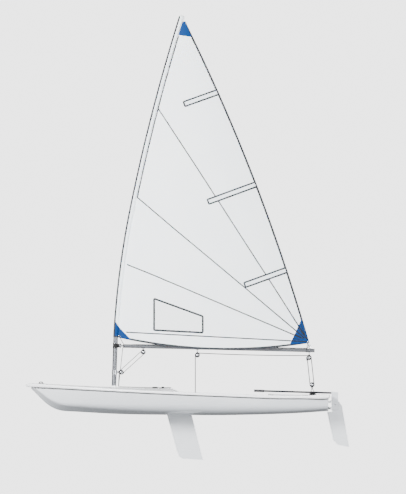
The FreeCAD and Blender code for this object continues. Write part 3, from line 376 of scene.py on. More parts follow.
def anodised_aluminium(name, low, high, metal=1.0):
    """Drawn tube, satin anodised: fine lengthwise draw lines and a soft metal sheen."""
    tube = Finish(name, low, 0.38, metal)
    lines = tube.noise(1.0, 2.0, drawn=(900.0, 900.0, 12.0))
    tube.tint(lines, low, high)
    tube.wear(lines, 0.36, 0.50)
    tube.bump(lines, 0.00006, 0.4)
    return tube.mat


def polished_steel():
    """316 stainless, pressed and tumbled: bright with small scratches."""
    steel = Finish("stainless_steel_tumbled", "#B9BCC0", 0.24, metal=1.0)
    marks = steel.noise(70.0, 2.0)
    steel.wear(marks, 0.24, 0.30)
    steel.bump(marks, 0.00001, 0.2)
    return steel.mat


def moulded_nylon(name, low, high):
    """Glass-filled nylon from a spark-finished mould: dull black with a fine grain."""
    nylon = Finish(name, low, 0.55, ior=1.53, Specular_IOR_Level=0.2)
    nylon.tint(nylon.noise(30.0, 3.0), low, high)
    nylon.bump(nylon.noise(900.0, 2.0), 0.0001, 0.5)
    return nylon.mat


def painted_foil():
    """Foam and glass foil, sprayed and flatted: smooth pale grey paint with faint rub marks."""
    paint = Finish("grey_foil_paint_sprayed", "#CFD2D5", 0.28, Coat_Weight=0.3, Coat_Roughness=0.1)
    rub = paint.noise(1.0, 5.0, drawn=(6.0, 6.0, 60.0))
    paint.tint(rub, "#C6CACE", "#D6D9DC")
    paint.wear(rub, 0.22, 0.42)
    paint.bump(rub, 0.0001, 0.4)
    return paint.mat


def sailcloth(name, low, high, sheen=0.2, shine=0.5):
    """Woven polyester sailcloth, filled with resin: a crisp matt sheet that glows a little
    against the light. The real thread spacing is 0.3 mm, drawn at 6 mm."""
    cloth = Finish(name, low, 0.6, ior=1.48, Sheen_Weight=sheen, Sheen_Roughness=0.5,
                   Specular_IOR_Level=shine, Subsurface_Weight=sheen / 2, Subsurface_Scale=0.05)
    cloth.tint(cloth.noise(1.6, 5.0), low, high)
    cloth.bump(cloth.calc("MULTIPLY", cloth.waves(6.0, "X"), cloth.waves(6.0, "Z")), 0.0004, 0.25)
    return cloth.mat


def sewn_tape(name, low, high, thread):
    """Folded polyester tape with two rows of zigzag stitches. Its UV runs across (u) and along
    (v, in metres). Real stitches are 3 mm apart, drawn at 9 mm so that they show."""
    tape = Finish(name, low, 0.75, Specular_IOR_Level=0.2)
    axes, half = tape.axes(tape.uv()), 0.0045
    offset = tape.add("MapRange", Value=tape.calc("PINGPONG", (axes, "Y"), half), From_Max=half,
                      To_Min=-0.1, To_Max=0.1)
    rows = []
    for row in (0.22, 0.78):
        off = tape.calc("SUBTRACT", (axes, "X"), tape.calc("ADD", (offset, 0), row))
        rows.append(tape.calc("LESS_THAN", tape.calc("ABSOLUTE", off), 0.05))
    marks = tape.either(rows)
    tape.tint(marks, tape.tint(tape.noise(30.0, 3.0), low, high), thread)
    tape.bump(marks, 0.0006, 0.7)
    return tape.mat


def clear_film():
    """Pressed clear vinyl for the window: glossy, nearly colourless, faintly wavy."""
    film = Finish("clear_vinyl_film", "#E6EDF0", 0.08, ior=1.45, Alpha=0.28)
    film.bump(film.noise(9.0, 2.0), 0.002, 0.3)
    return film.mat


def braided_rope(name, low, high, pick_mm):
    """Polyester braid. Its UV runs round (u) and along (v, in metres); plaits every pick_mm."""
    braid = Finish(name, low, 0.8, Specular_IOR_Level=0.1)
    plaits = braid.add("Mapping", Vector=braid.uv(), Scale=(4.0, 1000.0 / pick_mm, 1.0)), 0
    braid.tint((braid.add("TexChecker", Vector=plaits, Scale=1.0), 1), low, high)
    lay = braid.add("TexWave", Vector=plaits, Scale=0.32, bands_direction="DIAGONAL")
    braid.bump((lay, 1), 0.0006, 0.7)
    return braid.mat


def woven_webbing():
    """Polyester webbing from a narrow loom: ribs across every 2 mm, drawn at 6 mm. Its UV runs
    across (u) and along (v, in metres)."""
    web = Finish("black_webbing_woven", "#232428", 0.85, Specular_IOR_Level=0.2)
    ribs = web.waves(6.0, "Y", web.uv())
    web.tint(ribs, "#121316", "#26282D")
    web.bump(ribs, 0.0008, 0.8)
    return web.mat


def ribbed_rubber():
    """Moulded rubber grip: dull black with turned grooves 5 mm apart, drawn at 8 mm."""
    rubber = Finish("black_rubber_moulded", "#1E1F21", 0.7, ior=1.52)
    ribs = rubber.waves(8.0, "X")
    rubber.tint(ribs, "#141517", "#2B2C2F")
    rubber.bump(ribs, 0.0012, 0.8)
    return rubber.mat


def shade_bead_rubber():
    """Extruded rubber bead in the joint between hull and deck: near black, dull, evenly worn. Its near black
    is partly painted shade, for the shadow line under the deck's rolled edge.
    """
    rubber = Finish("black_rubber_bead_painted_shade", "#101012", 0.7, ior=1.52, Specular_IOR_Level=0.3)
    worn = rubber.noise(14.0, 5.0)
    rubber.tint(worn, "#0B0B0C", "#1B1B1E")
    rubber.bump(worn, 0.0003, 0.4)
    return rubber.mat


# ---------------------------------------------------------------------------- studio
def add_camera():
    """Level side view from port, without perspective."""
    data = bpy.data.cameras.new("side_camera")
    data.type = "ORTHO"
    data.ortho_scale = METRES_TALL
    data.clip_end = SIGHT
    camera = bpy.data.objects.new("side_camera", data)
    camera.location = (VIEW_CENTRE[0], CAMERA_Y, VIEW_CENTRE[1])
    camera.rotation_euler = (math.pi / 2, 0, math.pi)
    bpy.context.collection.objects.link(camera)
    bpy.context.scene.camera = camera


def add_stage():
    """A level floor at the waterline, which throws no shade on the boat's underside. It is cut
    out inside the hull, because the cockpit's own floor lies lower."""
    half = FLOOR_SIZE / 2
    x0, x1, y1 = FLOOR_HOLE
    points = [(x, y, FLOOR_Z) for x, y in (
        (-half, -half), (half, -half), (half, half), (-half, half), (x0, -y1), (x1, -y1), (x1, y1), (x0, y1))]
    floor = mesh_piece("pale_floor", points, [(0, 1, 5, 4), (1, 2, 6, 5), (2, 3, 7, 6), (3, 0, 4, 7)],
                       stage_material(), None)
    floor.visible_shadow = floor.visible_diffuse = floor.visible_glossy = False


def add_studio():
    """White backdrop, even fill, and for reflections a room that is bright overhead and
    dark below and behind the boat, so that round and glossy edges draw themselves."""
    world = bpy.data.worlds.new("soft_studio")
    bpy.context.scene.world = world
    world.use_nodes = True
    tree = world.node_tree
    tree.nodes.clear()

    def glow(code, strength):
        return add(tree, "ShaderNodeBackground", Color=srgb(code), Strength=strength), 0

    def ramp(value, start, end, low, high):
        return add(tree, "ShaderNodeMapRange", Value=value, From_Min=start, From_Max=end, To_Min=low,
                   To_Max=high), 0

    def by_ray(kind, other, this):
        return add(tree, "ShaderNodeMixShader", Fac=(ray, kind), in1=other, in2=this), 0

    ray = add(tree, "ShaderNodeLightPath")
    way = add(tree, "ShaderNodeTexCoord")
    axes = add(tree, "ShaderNodeSeparateXYZ", Vector=(way, "Generated"))
    level = add(tree, "ShaderNodeMath", operation="MULTIPLY", in0=ramp((axes, "Y"), -0.8, 0.3, 0.16, 1.1),
                in1=ramp((axes, "Z"), -0.45, 0.6, 0.35, 1.35))
    room = by_ray("Is Glossy Ray", glow("#F6F8FB", FILL), glow("#F8F9FB", (level, 0)))
    add(tree, "ShaderNodeOutputWorld", in0=by_ray("Is Camera Ray", room, glow("#FFFFFF", BACKDROP)))
    for name, (place, width, watts, aim) in LIGHTS.items():
        data = bpy.data.lights.new(name, "AREA")
        data.shape = "DISK"
        data.size = width
        data.energy = watts
        lamp = bpy.data.objects.new(name, data)
        bpy.context.collection.objects.link(lamp)
        lamp.location = place
        x, y, z = np.array((0, 0, aim)) - place
        tilt = math.acos(-z / math.dist((0, 0, aim), place))
        lamp.rotation_euler = (tilt, 0, math.atan2(y, x) - math.pi / 2)


add_camera()
add_stage()
add_studio()
# The hull's gelcoat, with painted shade that darkens it towards the keel.
HULL_GEL_PAINTED_SHADE = gelcoat("grey_gelcoat_with_painted_keel_shade", "#D9DCDF", "#E2E4E7", "#C3C8CD")
DECK_GEL = deck_gelcoat()
PLAIN_GEL = gelcoat("white_gelcoat_polished", "#F1F2F4", "#F8F9F9")
SPAR = anodised_aluminium("aluminium_tube_anodised", "#5A5C60", "#737579")
BLACK_SPAR = anodised_aluminium("black_tube_anodised", "#1C1D20", "#2C2D31", 0.9)
HEAD_PAINT = gelcoat("grey_powder_coat_baked", "#C3C7CB", "#CDD0D4")
STEEL = polished_steel()
NYLON = moulded_nylon("black_nylon_moulded", "#060607", "#0E0F10")
FOIL = painted_foil()
CLOTH = sailcloth("white_sailcloth_woven", "#EEF1F4", "#F8FAFB")
BLUE = sailcloth("blue_patch_cloth_woven", "#002A5C", "#003066", sheen=0.0, shine=0.1)
TAPE = sewn_tape("grey_edge_tape_sewn", "#1E2023", "#282A2D", "#4C4F54")
SEAM = sewn_tape("grey_seam_tape_sewn", "#0E0F11", "#17181B", "#3A3C40")
POCKET = sailcloth("batten_pocket_cloth", "#E6E9EC", "#EFF1F3")
FILM = clear_film()
SHEET_ROPE = braided_rope("dark_mainsheet_braid", "#030304", "#16171A", 9.0)
LINE_ROPE = braided_rope("dark_control_line_braid", "#040405", "#1A1B1F", 6.0)
THREAD = moulded_nylon("waxed_whipping_twine", "#33353A", "#44474C")
WEB = woven_webbing()
RUBBER = ribbed_rubber()
# Near-black bead rubber, partly painted shade under the gunwale's rolled edge.
SHADE_BEAD = shade_bead_rubber()

NODE_FINISH = {
    "hull_shell": HULL_GEL_PAINTED_SHADE, "deck_moulding": DECK_GEL, "rudder_head": HEAD_PAINT,
    "mast_step_tube daggerboard_case": PLAIN_GEL, "daggerboard rudder_blade": FOIL,
    "mast_lower mast_upper boom": SPAR, "tiller tiller_extension": BLACK_SPAR, "tiller_grip": RUBBER,
    "gooseneck_pin vang_tang vang_boom_key boom_eye_straps outhaul_eye blade_bolt gudgeons "
    "strap_plates": STEEL,
    "daggerboard_cap mast_collars mast_plugs boom_plugs gooseneck_bracket vang_lower_block "
    "vang_upper_block boom_middle_block boom_end_block bow_eye control_line_cleats "
    "traveller_fairleads traveller_block mainsheet_block transom_bung": NYLON,
}


def smooth_group(angle_deg=28.0, join_within=0.00002):
    """Joins a frame node's loose triangles and shades it smooth, but for edges past the angle."""
    group = bpy.data.node_groups.new("join_and_smooth", "GeometryNodeTree")
    for way in "INPUT", "OUTPUT":
        group.interface.new_socket("Geometry", in_out=way, socket_type="NodeSocketGeometry")
    given = add(group, "NodeGroupInput")
    join = add(group, "GeometryNodeMergeByDistance", in0=(given, 0), Distance=join_within)
    faces = add(group, "GeometryNodeSetShadeSmooth", domain="FACE", in0=(join, 0))
    corner = add(group, "GeometryNodeInputMeshEdgeAngle")
    sharp = add(group, "FunctionNodeCompare", in0=(corner, 0), in1=math.radians(angle_deg))
    edges = add(group, "GeometryNodeSetShadeSmooth", domain="EDGE", in0=(faces, 0), Selection=(sharp, 0),
                Shade_Smooth=False)
    add(group, "NodeGroupOutput", in0=(edges, 0))
    return group


SMOOTH = smooth_group()
for nodes, mat in NODE_FINISH.items():
    for node in nodes.split():
        NODES[node].data.materials.clear()
        NODES[node].data.materials.append(mat)
        NODES[node].modifiers.new("join_and_smooth", "NODES").node_group = SMOOTH


# ----------------------------------------------------------------- lines of the rig
MAST_FOOT = (0.888, 0.310)            # x and z of the mast's centre at the deck
RAKE = math.radians(2.0)
BEND_FROM, BEND_CHANGE = 0.800, 2.750  # heights where the mast starts to bend, and bends less
BEND_LOW, BEND_HIGH = 12.0, 26.5      # radii of the two bends
SLEEVE_R = 0.035
TACK_Z = 1.002
HEAD, LEECH_MID, CLEW = (-0.105, 5.388), (-1.117, 3.073), (-1.831, 0.919)
FOOT_LOW = (-0.657, 0.824)


def mast_x(z):
    """Straight and raked below BEND_FROM, then two circular arcs, as arrays over z."""
    z = np.asarray(z, float)
    line = MAST_FOOT[0] - (z - MAST_FOOT[1]) * math.tan(RAKE)
    start = MAST_FOOT[0] - (BEND_FROM - MAST_FOOT[1]) * math.tan(RAKE)
    low = (start - BEND_LOW * math.cos(RAKE), BEND_FROM - BEND_LOW * math.sin(RAKE))
    arc_low = low[0] + np.sqrt(BEND_LOW ** 2 - np.clip(z - low[1], -BEND_LOW, BEND_LOW) ** 2)
    turn = math.asin((BEND_CHANGE - low[1]) / BEND_LOW)
    gap = BEND_LOW - BEND_HIGH
    high = (low[0] + gap * math.cos(turn), low[1] + gap * math.sin(turn))
    arc_high = high[0] + np.sqrt(BEND_HIGH ** 2 - (z - high[1]) ** 2)
    return np.where(z < BEND_FROM, line, np.where(z < BEND_CHANGE, arc_low, arc_high))


def mast_lean(z, step=0.001):
    """Angle of the mast from upright at height z."""
    z = np.asarray(z, float)
    return np.arctan((mast_x(z - step) - mast_x(z + step)) / (2 * step))


def sleeve_back(z):
    """x of the sleeve's aft side at height z."""
    return mast_x(z) - SLEEVE_R / np.cos(mast_lean(z))


def circle_through(a, b, c):
    """Centre and radius of the circle through three points of a plane."""
    a, b, c = np.array((a, b, c))
    centre = np.linalg.solve(2 * np.array((b - a, c - a)), (b @ b - a @ a, c @ c - a @ a))
    return centre, math.dist(centre, a)


LEECH_C, LEECH_R = circle_through(HEAD, LEECH_MID, CLEW)
TACK = (float(mast_x(TACK_Z)), TACK_Z)
FOOT_C, FOOT_R = circle_through(TACK, FOOT_LOW, CLEW)


def leech_x(z):
    """x of the leech at height z, on its arc."""
    return LEECH_C[0] + np.copysign(np.sqrt(LEECH_R ** 2 - (z - LEECH_C[1]) ** 2), HEAD[0] - LEECH_C[0])


def foot_z(x):
    """Height of the foot at x, on its arc."""
    return FOOT_C[1] + np.copysign(np.sqrt(FOOT_R ** 2 - (x - FOOT_C[0]) ** 2), FOOT_LOW[1] - FOOT_C[1])


# The sail's depth and its leech's fall to port, in metres, at seven heights.
SHAPE_Z = (0.76, 1.5, 2.3, 3.2, 4.1, 4.9, 5.46)
CAMBER = (0.128, 0.180, 0.172, 0.128, 0.078, 0.034, 0.006)
FALL = (0.0, 0.024, 0.048, 0.064, 0.062, 0.040, 0.012)
LEECH_SPARE = 0.060                   # how far past the leech the sail's shape goes on


def through(z, values):
    """A polynomial of the fifth degree that passes smoothly near the table's values."""
    return np.polynomial.Polynomial.fit(SHAPE_Z, values, 5)(z)


def sail_y(x, z):
    """The sail's fullness: a shallow arch from mast to leech, plus the leech's fall to port,
    plus small radial creases that start at the clew and die out along the cloth."""
    x, z = np.broadcast_arrays(np.asarray(x, float), np.asarray(z, float))
    luff, leech = mast_x(z), leech_x(z) - LEECH_SPARE
    t = np.clip((luff - x) / (luff - leech), 0, 1.02)
    y = through(z, CAMBER) * (4 * t * (1 - t)) + through(z, FALL) * t
    far = np.hypot(x - CLEW[0], z - CLEW[1])
    angle = np.arctan2(z - CLEW[1], x - CLEW[0])
    grown = np.clip((far - 0.30) / 0.60, 0, 1)
    crease = 0.0045 * np.sin(angle * 30) * np.exp(-far / 1.3) * grown ** 2 * (3 - 2 * grown)
    luff_pull = 0.003 * np.sin(z * 21 + t * 5) * np.exp(-t / 0.08) * np.clip(t / 0.02, 0, 1)
    return y + crease + luff_pull


def on_sail(x, z, lift=0.0, step=0.004):
    """Points on the sail above x and z, lifted to port along the cloth's normal."""
    x, z = np.broadcast_arrays(np.asarray(x, float), np.asarray(z, float))
    dx = (sail_y(x + step, z) - sail_y(x - step, z)) / (2 * step)
    dz = (sail_y(x, z + step) - sail_y(x, z - step)) / (2 * step)
    size = np.sqrt(dx ** 2 + 1 + dz ** 2)
    return spread(x - dx / size * lift, sail_y(x, z) + lift / size, z - dz / size * lift)


def sail_grid(rows, cols, below=0.012):
    """x and z over the sail: edges are the sleeve, leech, foot and head, blended between."""
    v = np.linspace(0, 1, rows)[:, None]
    u = np.linspace(0, 1, cols)[None]
    luff_z = TACK_Z - below + v * (HEAD[1] - TACK_Z + below)
    luff = spread(sleeve_back(luff_z), luff_z)
    leech_z = CLEW[1] + v * (HEAD[1] - CLEW[1])
    leech = spread(leech_x(leech_z), leech_z)
    foot_x = luff[0, 0, 0] + u * (CLEW[0] - luff[0, 0, 0])
    foot = spread(foot_x, foot_z(foot_x))
    u, v = u[..., None], v[..., None]
    head = luff[-1:, :1] * (1 - u) + np.array(HEAD) * u
    corner = ((1 - u) * (1 - v) * luff[:1, :1] + u * (1 - v) * leech[:1, :1]
              + (1 - u) * v * luff[-1:, :1] + u * v * leech[-1:, :1])
    return (1 - u) * luff + u * leech + (1 - v) * foot + v * head - corner


# Wheels of the blocks, as radii, and the blocks' centres as (x, z).
BLOCK_WHEEL, SHEET_WHEEL, VANG_WHEEL = 0.0278, 0.0247, 0.0263
VANG_LOW, VANG_HIGH = (0.788, 0.514), (0.480, 0.792)
MID_BLOCK, END_BLOCK = (-0.272, 0.751), (-1.827, 0.716)
TRAVELLER_BLOCK, SHEET_BLOCK = (-1.867, 0.3385), (-0.269, 0.060)

BATTENS = (
    ((-0.091, 4.240), (-0.562, 4.408)),
    ((-0.423, 2.881), (-1.096, 3.127)),
    ((-0.932, 1.725), (-1.512, 1.934)),
)
BATTEN_WIDE = 0.068
WINDOW = ((0.329, 1.536), (0.329, 1.098), (-0.348, 1.063), (-0.348, 1.290))
CLOTH_THICK, TAPE_THICK, PATCH_THICK, WRAP_THICK = 0.0012, 0.0008, 0.001, 0.0006
# Widths of tapes and seams, and their heights over the cloth.
EDGE_TAPE, SEAM_WIDE, BATTEN_TAPE, WINDOW_TAPE, FAN_WIDE = 0.028, 0.016, 0.022, 0.026, 0.008
EDGE_LIFT, PATCH_LIFT = 0.0012, 0.0021
SEAMS = {
    "high": [(0.313, 4.241), (-0.305, 3.296), (-0.949, 2.295), (-1.380, 1.628), (-1.80, 0.965)],
    "middle": [(0.600, 2.976), (0.061, 2.517), (-0.472, 2.073), (-1.004, 1.628), (-1.762, 0.988)],
    "low": [(0.705, 2.010), (0.308, 1.850), (-0.476, 1.517), (-1.261, 1.183), (-1.745, 0.977)],
    "foot": [(0.721, 1.069), (-0.40, 1.010), (-1.570, 0.949), (-1.79, 0.937)],
}
FAN_CENTRE, FAN_SHORT = np.array((-1.80, 0.950)), 0.10
FAN_ENDS = ((-1.705, 1.19), (-1.672, 1.13), (-1.632, 1.04), (-1.60, 0.985))


def cut_window(mesh, corners):
    """Cut the cloth along the window's four sides and take out the faces inside."""
    bm = bmesh.new()
    bm.from_mesh(mesh)
    corners = np.array(corners)
    sides = []
    for a, b in zip(corners, np.roll(corners, -1, 0)):
        out = np.array([b[1] - a[1], a[0] - b[0]])
        out *= -np.sign(out @ (corners.mean(0) - a))
        sides.append((a, out))
        bmesh.ops.bisect_plane(bm, geom=bm.verts[:] + bm.edges[:] + bm.faces[:], dist=1e-6,
                               plane_co=(a[0], 0, a[1]), plane_no=(out[0], 0, out[1]))
    gone = [f for f in bm.faces
            if all(out @ (np.array(f.calc_center_median().xz) - a) <= 0 for a, out in sides)]
    bmesh.ops.delete(bm, geom=gone, context="FACES")
    bm.to_mesh(mesh)
    bm.free()


def cloth_strip(name, line, width, lift, mat, count):
    """A tape along a line of (x, z) points on both sides of the sail. lift is its height over
    the cloth, one number or one for each end."""
    line = np.asarray(line, float)
    run = run_along(line)
    at = np.linspace(0, run[-1], count)
    centre = spread(np.interp(at, run, line[:, 0]), np.interp(at, run, line[:, 1]))
    way = unit(np.gradient(centre, axis=0))
    v = np.linspace(-0.5, 0.5, 4)
    flat = centre[:, None] + spread(-way[:, 1], way[:, 0])[:, None] * (v[None, :, None] * width)
    first, last = np.broadcast_to(lift, 2)
    rise = (first + (last - first) * np.clip(at / run[-1] * 3 - 2, 0, 1))[:, None]
    for side, sign in SIDES:
        points = on_sail(flat[..., 0], flat[..., 1], sign * rise)
        thicken(surface(f"{name}_{side}", points, mat, "rig", uv=spread(v[None] + 0.5, at[:, None])),
                TAPE_THICK)


def cloth_patch(name, corners, lift, mat, both=True, bulge=0.0, count=24):
    """A four-cornered patch: corners a, b, c, d, blended linearly between the sides a-b and d-c,
    and raised to a bulge that fades at the ends."""
    a, b, c, d = [np.array(p) for p in corners]
    u = np.linspace(0, 1, count)[None, :, None].clip(1e-6, 1 - 1e-6)
    v = np.linspace(0, 1, count)[:, None, None]
    flat = (a * (1 - u) + b * u) * (1 - v) + (d * (1 - u) + c * u) * v
    puff = bulge * np.sin(np.pi * v[..., 0]) * np.sin(np.pi * u[..., 0]) ** 0.3
    for side, sign in SIDES[:1 + both]:
        points = on_sail(flat[..., 0], flat[..., 1], sign * (lift + puff))
        thicken(surface(f"{name}_{side}", points, mat, "rig"), PATCH_THICK)


def make_sail():
    """The cloth, on the sail's formula, with the window's opening cut out."""
    flat = sail_grid(150, 110)
    cloth = surface("sail_cloth", on_sail(flat[..., 0], flat[..., 1]), CLOTH, "rig")
    cut_window(cloth.data, WINDOW)
    cloth.data.polygons.foreach_set("use_smooth", np.ones(len(cloth.data.polygons), bool))
    thicken(cloth, CLOTH_THICK)
    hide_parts("sail")


def make_sail_details():
    """Edge tapes, seams, the fan at the clew, batten pockets with their edges, and the window."""
    z = np.linspace(CLEW[1], HEAD[1], 90)
    cloth_strip("leech_tape", spread(leech_x(z) + EDGE_TAPE / 2, z), EDGE_TAPE, EDGE_LIFT, TAPE, 120)
    x = np.linspace(TACK[0] - 0.05, CLEW[0] + 0.01, 90)
    cloth_strip("foot_tape", spread(x, foot_z(x) + EDGE_TAPE / 2), EDGE_TAPE, EDGE_LIFT, TAPE, 120)
    for i, (name, line) in enumerate(SEAMS.items()):
        cloth_strip(f"seam_{name}", line, SEAM_WIDE, (0.0011, 0.0032 + 0.0002 * i), SEAM, 160)
    for i, end in enumerate(FAN_ENDS):
        line = [end, FAN_CENTRE + unit(end - FAN_CENTRE) * FAN_SHORT]
        cloth_strip(f"clew_fan_{i}", line, FAN_WIDE, 0.0040 + 0.0002 * i, SEAM, 24)
    z = np.linspace(2.934, 5.186, 120)
    cloth_strip("sleeve_seam", spread(sleeve_back(z) - 0.006, z), SEAM_WIDE, 0.0018, SEAM, 160)
    for i, (a, b) in enumerate(BATTENS):
        a, b = np.array(a), np.array(b)
        way = unit(b - a)
        side = np.array([-way[1], way[0]]) * BATTEN_WIDE / 2
        ends = [b + side, b - side]
        for _ in range(8):            # slides the ends along the batten until they meet the leech
            ends = [end + way * (leech_x(end[1]) + 0.011 - end[0]) / way[0] for end in ends]
        cloth_patch(f"batten_pocket_{i}", (a + side, *ends, a - side), 0.0016, POCKET, bulge=0.003)
        cloth_strip(f"batten_edge_{i}", [a, a + side, *ends, a - side, a], BATTEN_TAPE, 0.0046, TAPE, 90)
    cloth_patch("window_film", WINDOW[1:] + WINDOW[:1], 0.0, FILM, both=False)
    cloth_strip("window_edge", WINDOW + WINDOW[:1], WINDOW_TAPE, 0.0014, TAPE, 120)


def patch_top(back):
    """Height of the tack patch's slanting edge, a distance back from the sleeve's front."""
    return 1.246 - 1.5 * back


def corner_patches():
    """Blue patches at clew, tack and head, each with a corner of the sail as one of its own."""
    back = mast_x(np.array((1.142, 5.19, 5.385))) - SLEEVE_R - (0.002, 0.001, 0.001)
    high = np.array((back[0], patch_top(2 * SLEEVE_R + 0.002)))
    low = np.array((0.639, foot_z(0.639) + 0.001))
    for name, corners in (
            ("clew", ((-1.719, 1.252), CLEW, (-1.557, 0.897), (-1.647, 1.085))),
            ("tack", (high, (TACK[0] - SLEEVE_R - 0.001, TACK[1] - 0.006), low, (high + low) / 2)),
            ("head", ((back[1], 5.20), (back[2], 5.385), (-0.106, 5.385), (-0.190, 5.172)))):
        cloth_patch(f"{name}_patch", corners, PATCH_LIFT, BLUE)


def around_mast(z, turn, grow):
    """Points on the sleeve at heights z and angles turn round the mast, where 0 is forward: a
    circle that draws in to a tail at the sail."""
    z, turn = np.broadcast_arrays(z, turn)
    lean = mast_lean(z)
    tail = np.clip(-np.cos(turn) - 0.55, 0, 1) / 0.45
    along = np.cos(turn) * (SLEEVE_R + grow) - tail ** 1.5 * 0.012
    across = np.sin(turn) * (SLEEVE_R * (1 - 0.75 * tail) + grow)
    return spread(mast_x(z) + np.cos(lean) * along, across, z + np.sin(lean) * along)


def make_sleeve():
    """The luff sleeve, which closes over the mast's head in a low dome. A blue patch, a grey
    wear strip and a hem wrap it."""
    turn = whole_turn(48)[None]
    points = around_mast(np.linspace(TACK_Z, 5.458, 150)[:, None], turn, 0.0)
    shut = np.radians(np.linspace(12, 89, 7))[:, None, None]
    top = points[-1].mean(0)
    dome = top + (points[-1] - top)[None] * np.cos(shut) + np.array([0, 0, 0.018]) * np.sin(shut)
    sleeve = surface("luff_sleeve_cloth", np.concatenate([points, dome]), CLOTH, "rig", close_u=True)
    thicken(sleeve, CLOTH_THICK, -1)
    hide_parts("luff_sleeve")
    low, edge = TACK_Z + 0.002, patch_top(SLEEVE_R * (1 - np.cos(turn)))
    patch = around_mast(low + np.linspace(0, 1, 14)[:, None] * (edge - low), turn, 0.0012)
    thicken(surface("tack_sleeve_patch", patch, BLUE, "rig", close_u=True), WRAP_THICK)
    z, wrap = np.linspace(TACK_Z, 5.452, 150)[:, None], np.linspace(-1.15, 1.15, 13)[None]
    thicken(surface("sleeve_wear_strip", around_mast(z, wrap, 0.0020), TAPE, "rig",
                    uv=spread(np.linspace(0, 1, 13)[None], z)), WRAP_THICK)
    share = np.linspace(0, 1, 4)[:, None]
    surface("sleeve_hem", around_mast(TACK_Z - 0.001 + 0.015 * share, turn, 0.0028), TAPE, "rig",
            close_u=True, uv=spread(share, SLEEVE_R * (math.pi - np.abs(math.pi - turn))))


make_sail()
make_sail_details()
corner_patches()
make_sleeve()
for name, node in (("batten_pocket_0_port", "battens"), ("window_film_port", "sail_window"),
                   ("clew_patch_port", "corner_patches")):
    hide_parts(node)


# ------------------------------------------------------------- blocks, rivets and plates
def turned(name, profile, centre, body, sides=48, side=1):
    """A profile of (radius, y) pairs in steel, carried round the line along Y through (x, z)."""
    r, y = np.array(profile).T[..., None]
    a = whole_turn(sides)
    points = spread(centre[0] + r * np.cos(a), side * y, centre[1] + r * np.sin(a))
    surface(name, points, STEEL, body, close_u=True, caps=True)


DISC = ((0.0172, 0.0085), (0.0172, 0.0097), (0.0166, 0.0103), (0.0150, 0.0105), (0.0142, 0.0112),
        (0.0134, 0.0120), (0.0115, 0.0124), (0.0062, 0.0126), (0.0056, 0.0133), (0.0040, 0.0138),
        (0.0012, 0.0140))
PIN = ((0.0032, -0.0135), (0.0040, -0.0132), (0.0040, 0.0132), (0.0032, 0.0135))
PIN_R = 0.0040


def cheek_discs(name, centre, body):
    """Pressed steel discs on a block's cheeks: a low ring, and a domed cap over the axle."""
    for which, side in SIDES:
        turned(f"{name}_disc_{which}", DISC, centre, body, side=side)


def domes(name, places, normals, radius, height, body, sides=14, rings=6):
    """Rivet heads: at each place, height times the square root of one minus the share of the
    radius squared."""
    share = np.linspace(1, 0.02, rings)[:, None]
    a = whole_turn(sides)[None]
    local = spread(radius * share * np.cos(a), radius * share * np.sin(a),
                   height * np.sqrt(1 - share ** 2 * 0.999))
    up = unit(normals)
    first = unit(np.cross(up, np.where(np.abs(up[:, :1]) < 0.8, [[1.0, 0, 0]], [[0, 1.0, 0]])))
    basis = np.stack([first, np.cross(up, first), up], 1)
    spots = np.array(places)[:, None] + np.einsum("ki,nij->nkj", local.reshape(-1, 3), basis)
    faces = grid_faces(rings, sides, True)[None] + np.arange(len(spots))[:, None, None] * rings * sides
    mesh_piece(name, spots, faces.reshape(-1, 4).tolist(), STEEL, body)


def land(node, x, y):
    """Where a line straight down first meets a frame piece, and its normal there."""
    hit, at, normal, _ = NODES[node].ray_cast((x, y, 1.0), (0, 0, -1))
    assert hit, (node, x, y)
    return np.array(at), np.array(normal)


def ring(name, centre, major, minor, axis, body, high=None, count=32):
    """A steel ring of round wire, or of wire that is high along axis, the letter of the line
    through its hole."""
    a, b = whole_turn(count)[:, None], whole_turn(12)[None]
    out = major + minor * np.cos(b)
    points = np.zeros((count, 12, 3))
    order = {"x": [1, 2, 0], "y": [0, 2, 1]}[axis]
    points[..., order] = spread(out * np.cos(a), out * np.sin(a), (high or minor) * np.sin(b))
    surface(name, points + np.array(centre), STEEL, body, close_u=True, close_v=True)


def stopper_knot(name, at, along, radius, mat, body):
    """An overhand knot: the trefoil (sin t + 2 sin 2t, cos t - 2 cos 2t, -sin 3t), pulled tight."""
    t = np.linspace(0, 2 * math.pi, 97)
    curve = spread(np.sin(t) + 2 * np.sin(2 * t), np.cos(t) - 2 * np.cos(2 * t), -1.3 * np.sin(3 * t))
    up = unit(along)
    side = unit(np.cross(up, (0.3, 0.9, 0.1)))
    basis = np.stack([side, np.cross(up, side), up])
    rope(name, np.array(at) + curve @ basis * radius * 0.95, radius, mat, body, sides=10,
         step=radius * 0.6)


# ------------------------------------------------------------------------ running rigging
# Half the ropes' thickness. Real lines of 8 and 6 mm are drawn at 12 and 9 mm, so that they show.
SHEET_HALF, LINE_HALF = 0.0060, 0.0045
SHEET_EYE, VANG_EYE = 0.045, 0.036    # lengths of the two eyes


def edge_points(a, b, radius):
    """Where a line that touches two equal wheels on the same side leaves them, for both sides,
    and the angle of the line's normal."""
    a, b = np.array((a, b))
    way = unit(b - a)
    normal = np.array([-way[1], way[0]])
    angle = math.degrees(math.atan2(normal[1], normal[0]))
    return [(a + s * normal * radius, b + s * normal * radius) for s in (1, -1)], angle


